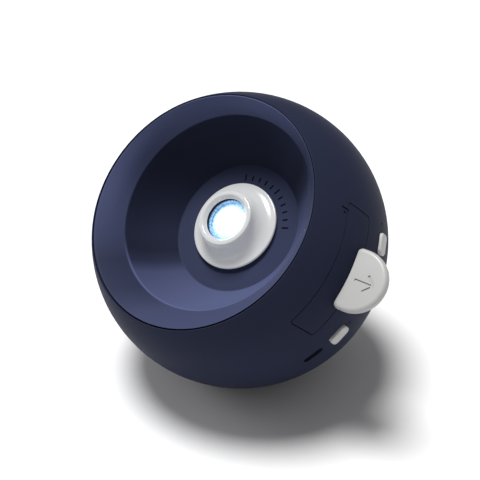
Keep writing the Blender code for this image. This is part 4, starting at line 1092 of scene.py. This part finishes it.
settle(makeCover(), "ball", materials["navy"], ["rear_cover"])
settle(makeGrille(), "ball", materials["navy"], ["speaker_grille"])
for number, place in enumerate(screwPlaces(), 1):
    settle(makeScrew(place, number), "ball", materials["steel"], ["cover_screw_" + str(number)])
settle(makeFoot(), "ball", materials["rubber"], ["foot_pad"])
print("rear made")

# Floor, lights and camera
studio = {
    "sun": (-0.18, -0.09, 0.98), "sunStrength": 3.9, "sunAngle": 22, "ambient": 0.26,
    "floor": (0.76, 0.76, 0.765), "floorSize": 8, "floorRoughness": 0.9, "floorSpecular": 0.1,
    "side": (-0.93, -0.25, 0.30), "sideDistance": 0.7, "sideSize": 0.35, "sidePower": 1.7,
    "view": (38.8, 30.0), "distance": 0.330, "lensLength": 65.9, "sensor": 36, "nearest": 0.01,
}


def makeStudio():
    deselectAll()
    bpy.ops.mesh.primitive_plane_add(size=studio["floorSize"], location=(0, 0, 0))
    floor = bpy.context.object
    floor.name = "studioFloor"
    paint = bpy.data.materials.new("paleFloor")
    paint.use_nodes = True
    shader = paint.node_tree.nodes["Principled BSDF"]
    shader.inputs["Base Color"].default_value = (*studio["floor"], 1.0)
    shader.inputs["Roughness"].default_value = studio["floorRoughness"]
    shader.inputs["Specular IOR Level"].default_value = studio["floorSpecular"]
    floor.data.materials.append(paint)
    bpy.ops.object.light_add(type="SUN", location=(0, 0, 1))
    sun = bpy.context.object
    sun.data.energy = studio["sunStrength"]
    sun.data.angle = radians(studio["sunAngle"])
    sun.rotation_euler = Vector(studio["sun"]).to_track_quat("Z", "Y").to_euler()
    toSide = Vector(studio["side"])
    bpy.ops.object.light_add(type="AREA", location=toSide * studio["sideDistance"])
    side = bpy.context.object
    side.data.size = studio["sideSize"]
    side.data.energy = studio["sidePower"]
    side.rotation_euler = toSide.to_track_quat("Z", "Y").to_euler()
    world = bpy.data.worlds.new("studioWorld")
    world.use_nodes = True
    world.node_tree.nodes["Background"].inputs["Color"].default_value = (1, 1, 1, 1)
    world.node_tree.nodes["Background"].inputs["Strength"].default_value = studio["ambient"]
    bpy.context.scene.world = world
    azimuth, elevation = (radians(a) for a in studio["view"])
    back = Vector((sin(azimuth) * cos(elevation), -cos(azimuth) * cos(elevation), sin(elevation)))
    bpy.ops.object.camera_add(location=Vector((0, 0, ball["centreHeight"])) + back * studio["distance"])
    camera = bpy.context.object
    camera.rotation_euler = (-back).to_track_quat("-Z", "Y").to_euler()
    camera.data.lens = studio["lensLength"]
    camera.data.sensor_width = studio["sensor"]
    camera.data.clip_start = studio["nearest"]
    bpy.context.scene.camera = camera
    bpy.context.scene.view_settings.view_transform = "Standard"


makeStudio()
print("studio made")

# The nodes that stay get their own finishes
finishes = {
    "black": ["focus_bush", "lens_barrel", "panel_frame", "card_socket", "cartridge_guide", "power_plunger",
              "play_plunger", "power_switch", "play_switch", "charging_tongue", "battery_cradle",
              "processor_chip", "amplifier_chip", "memory_chip", "power_inductor", "battery_connector"],
    "grey": ["lamp_tube", "cartridge_carrier", "inner_frame"],
    "foam": ["speaker_gasket"],
    "paper": ["speaker_cone", "speaker_dust_cap"],
    "steel": ["charging_port", "speaker_frame"],
    "ferrite": ["speaker_magnet"],
    "aluminium": ["heat_sink"],
    "lens": ["rear_lens", "picture_panel", "condenser_lens"],
    "board": ["led_board", "main_board", "control_board", "cartridge_card"],
    "sleeve": ["battery_cell"],
    "phosphor": ["led_emitter"],
}
for look, names in finishes.items():
    for node in names:
        piece = frame["nodes"][node]
        piece.data.materials.clear()
        piece.data.materials.append(materials[look])
print("finishes set")
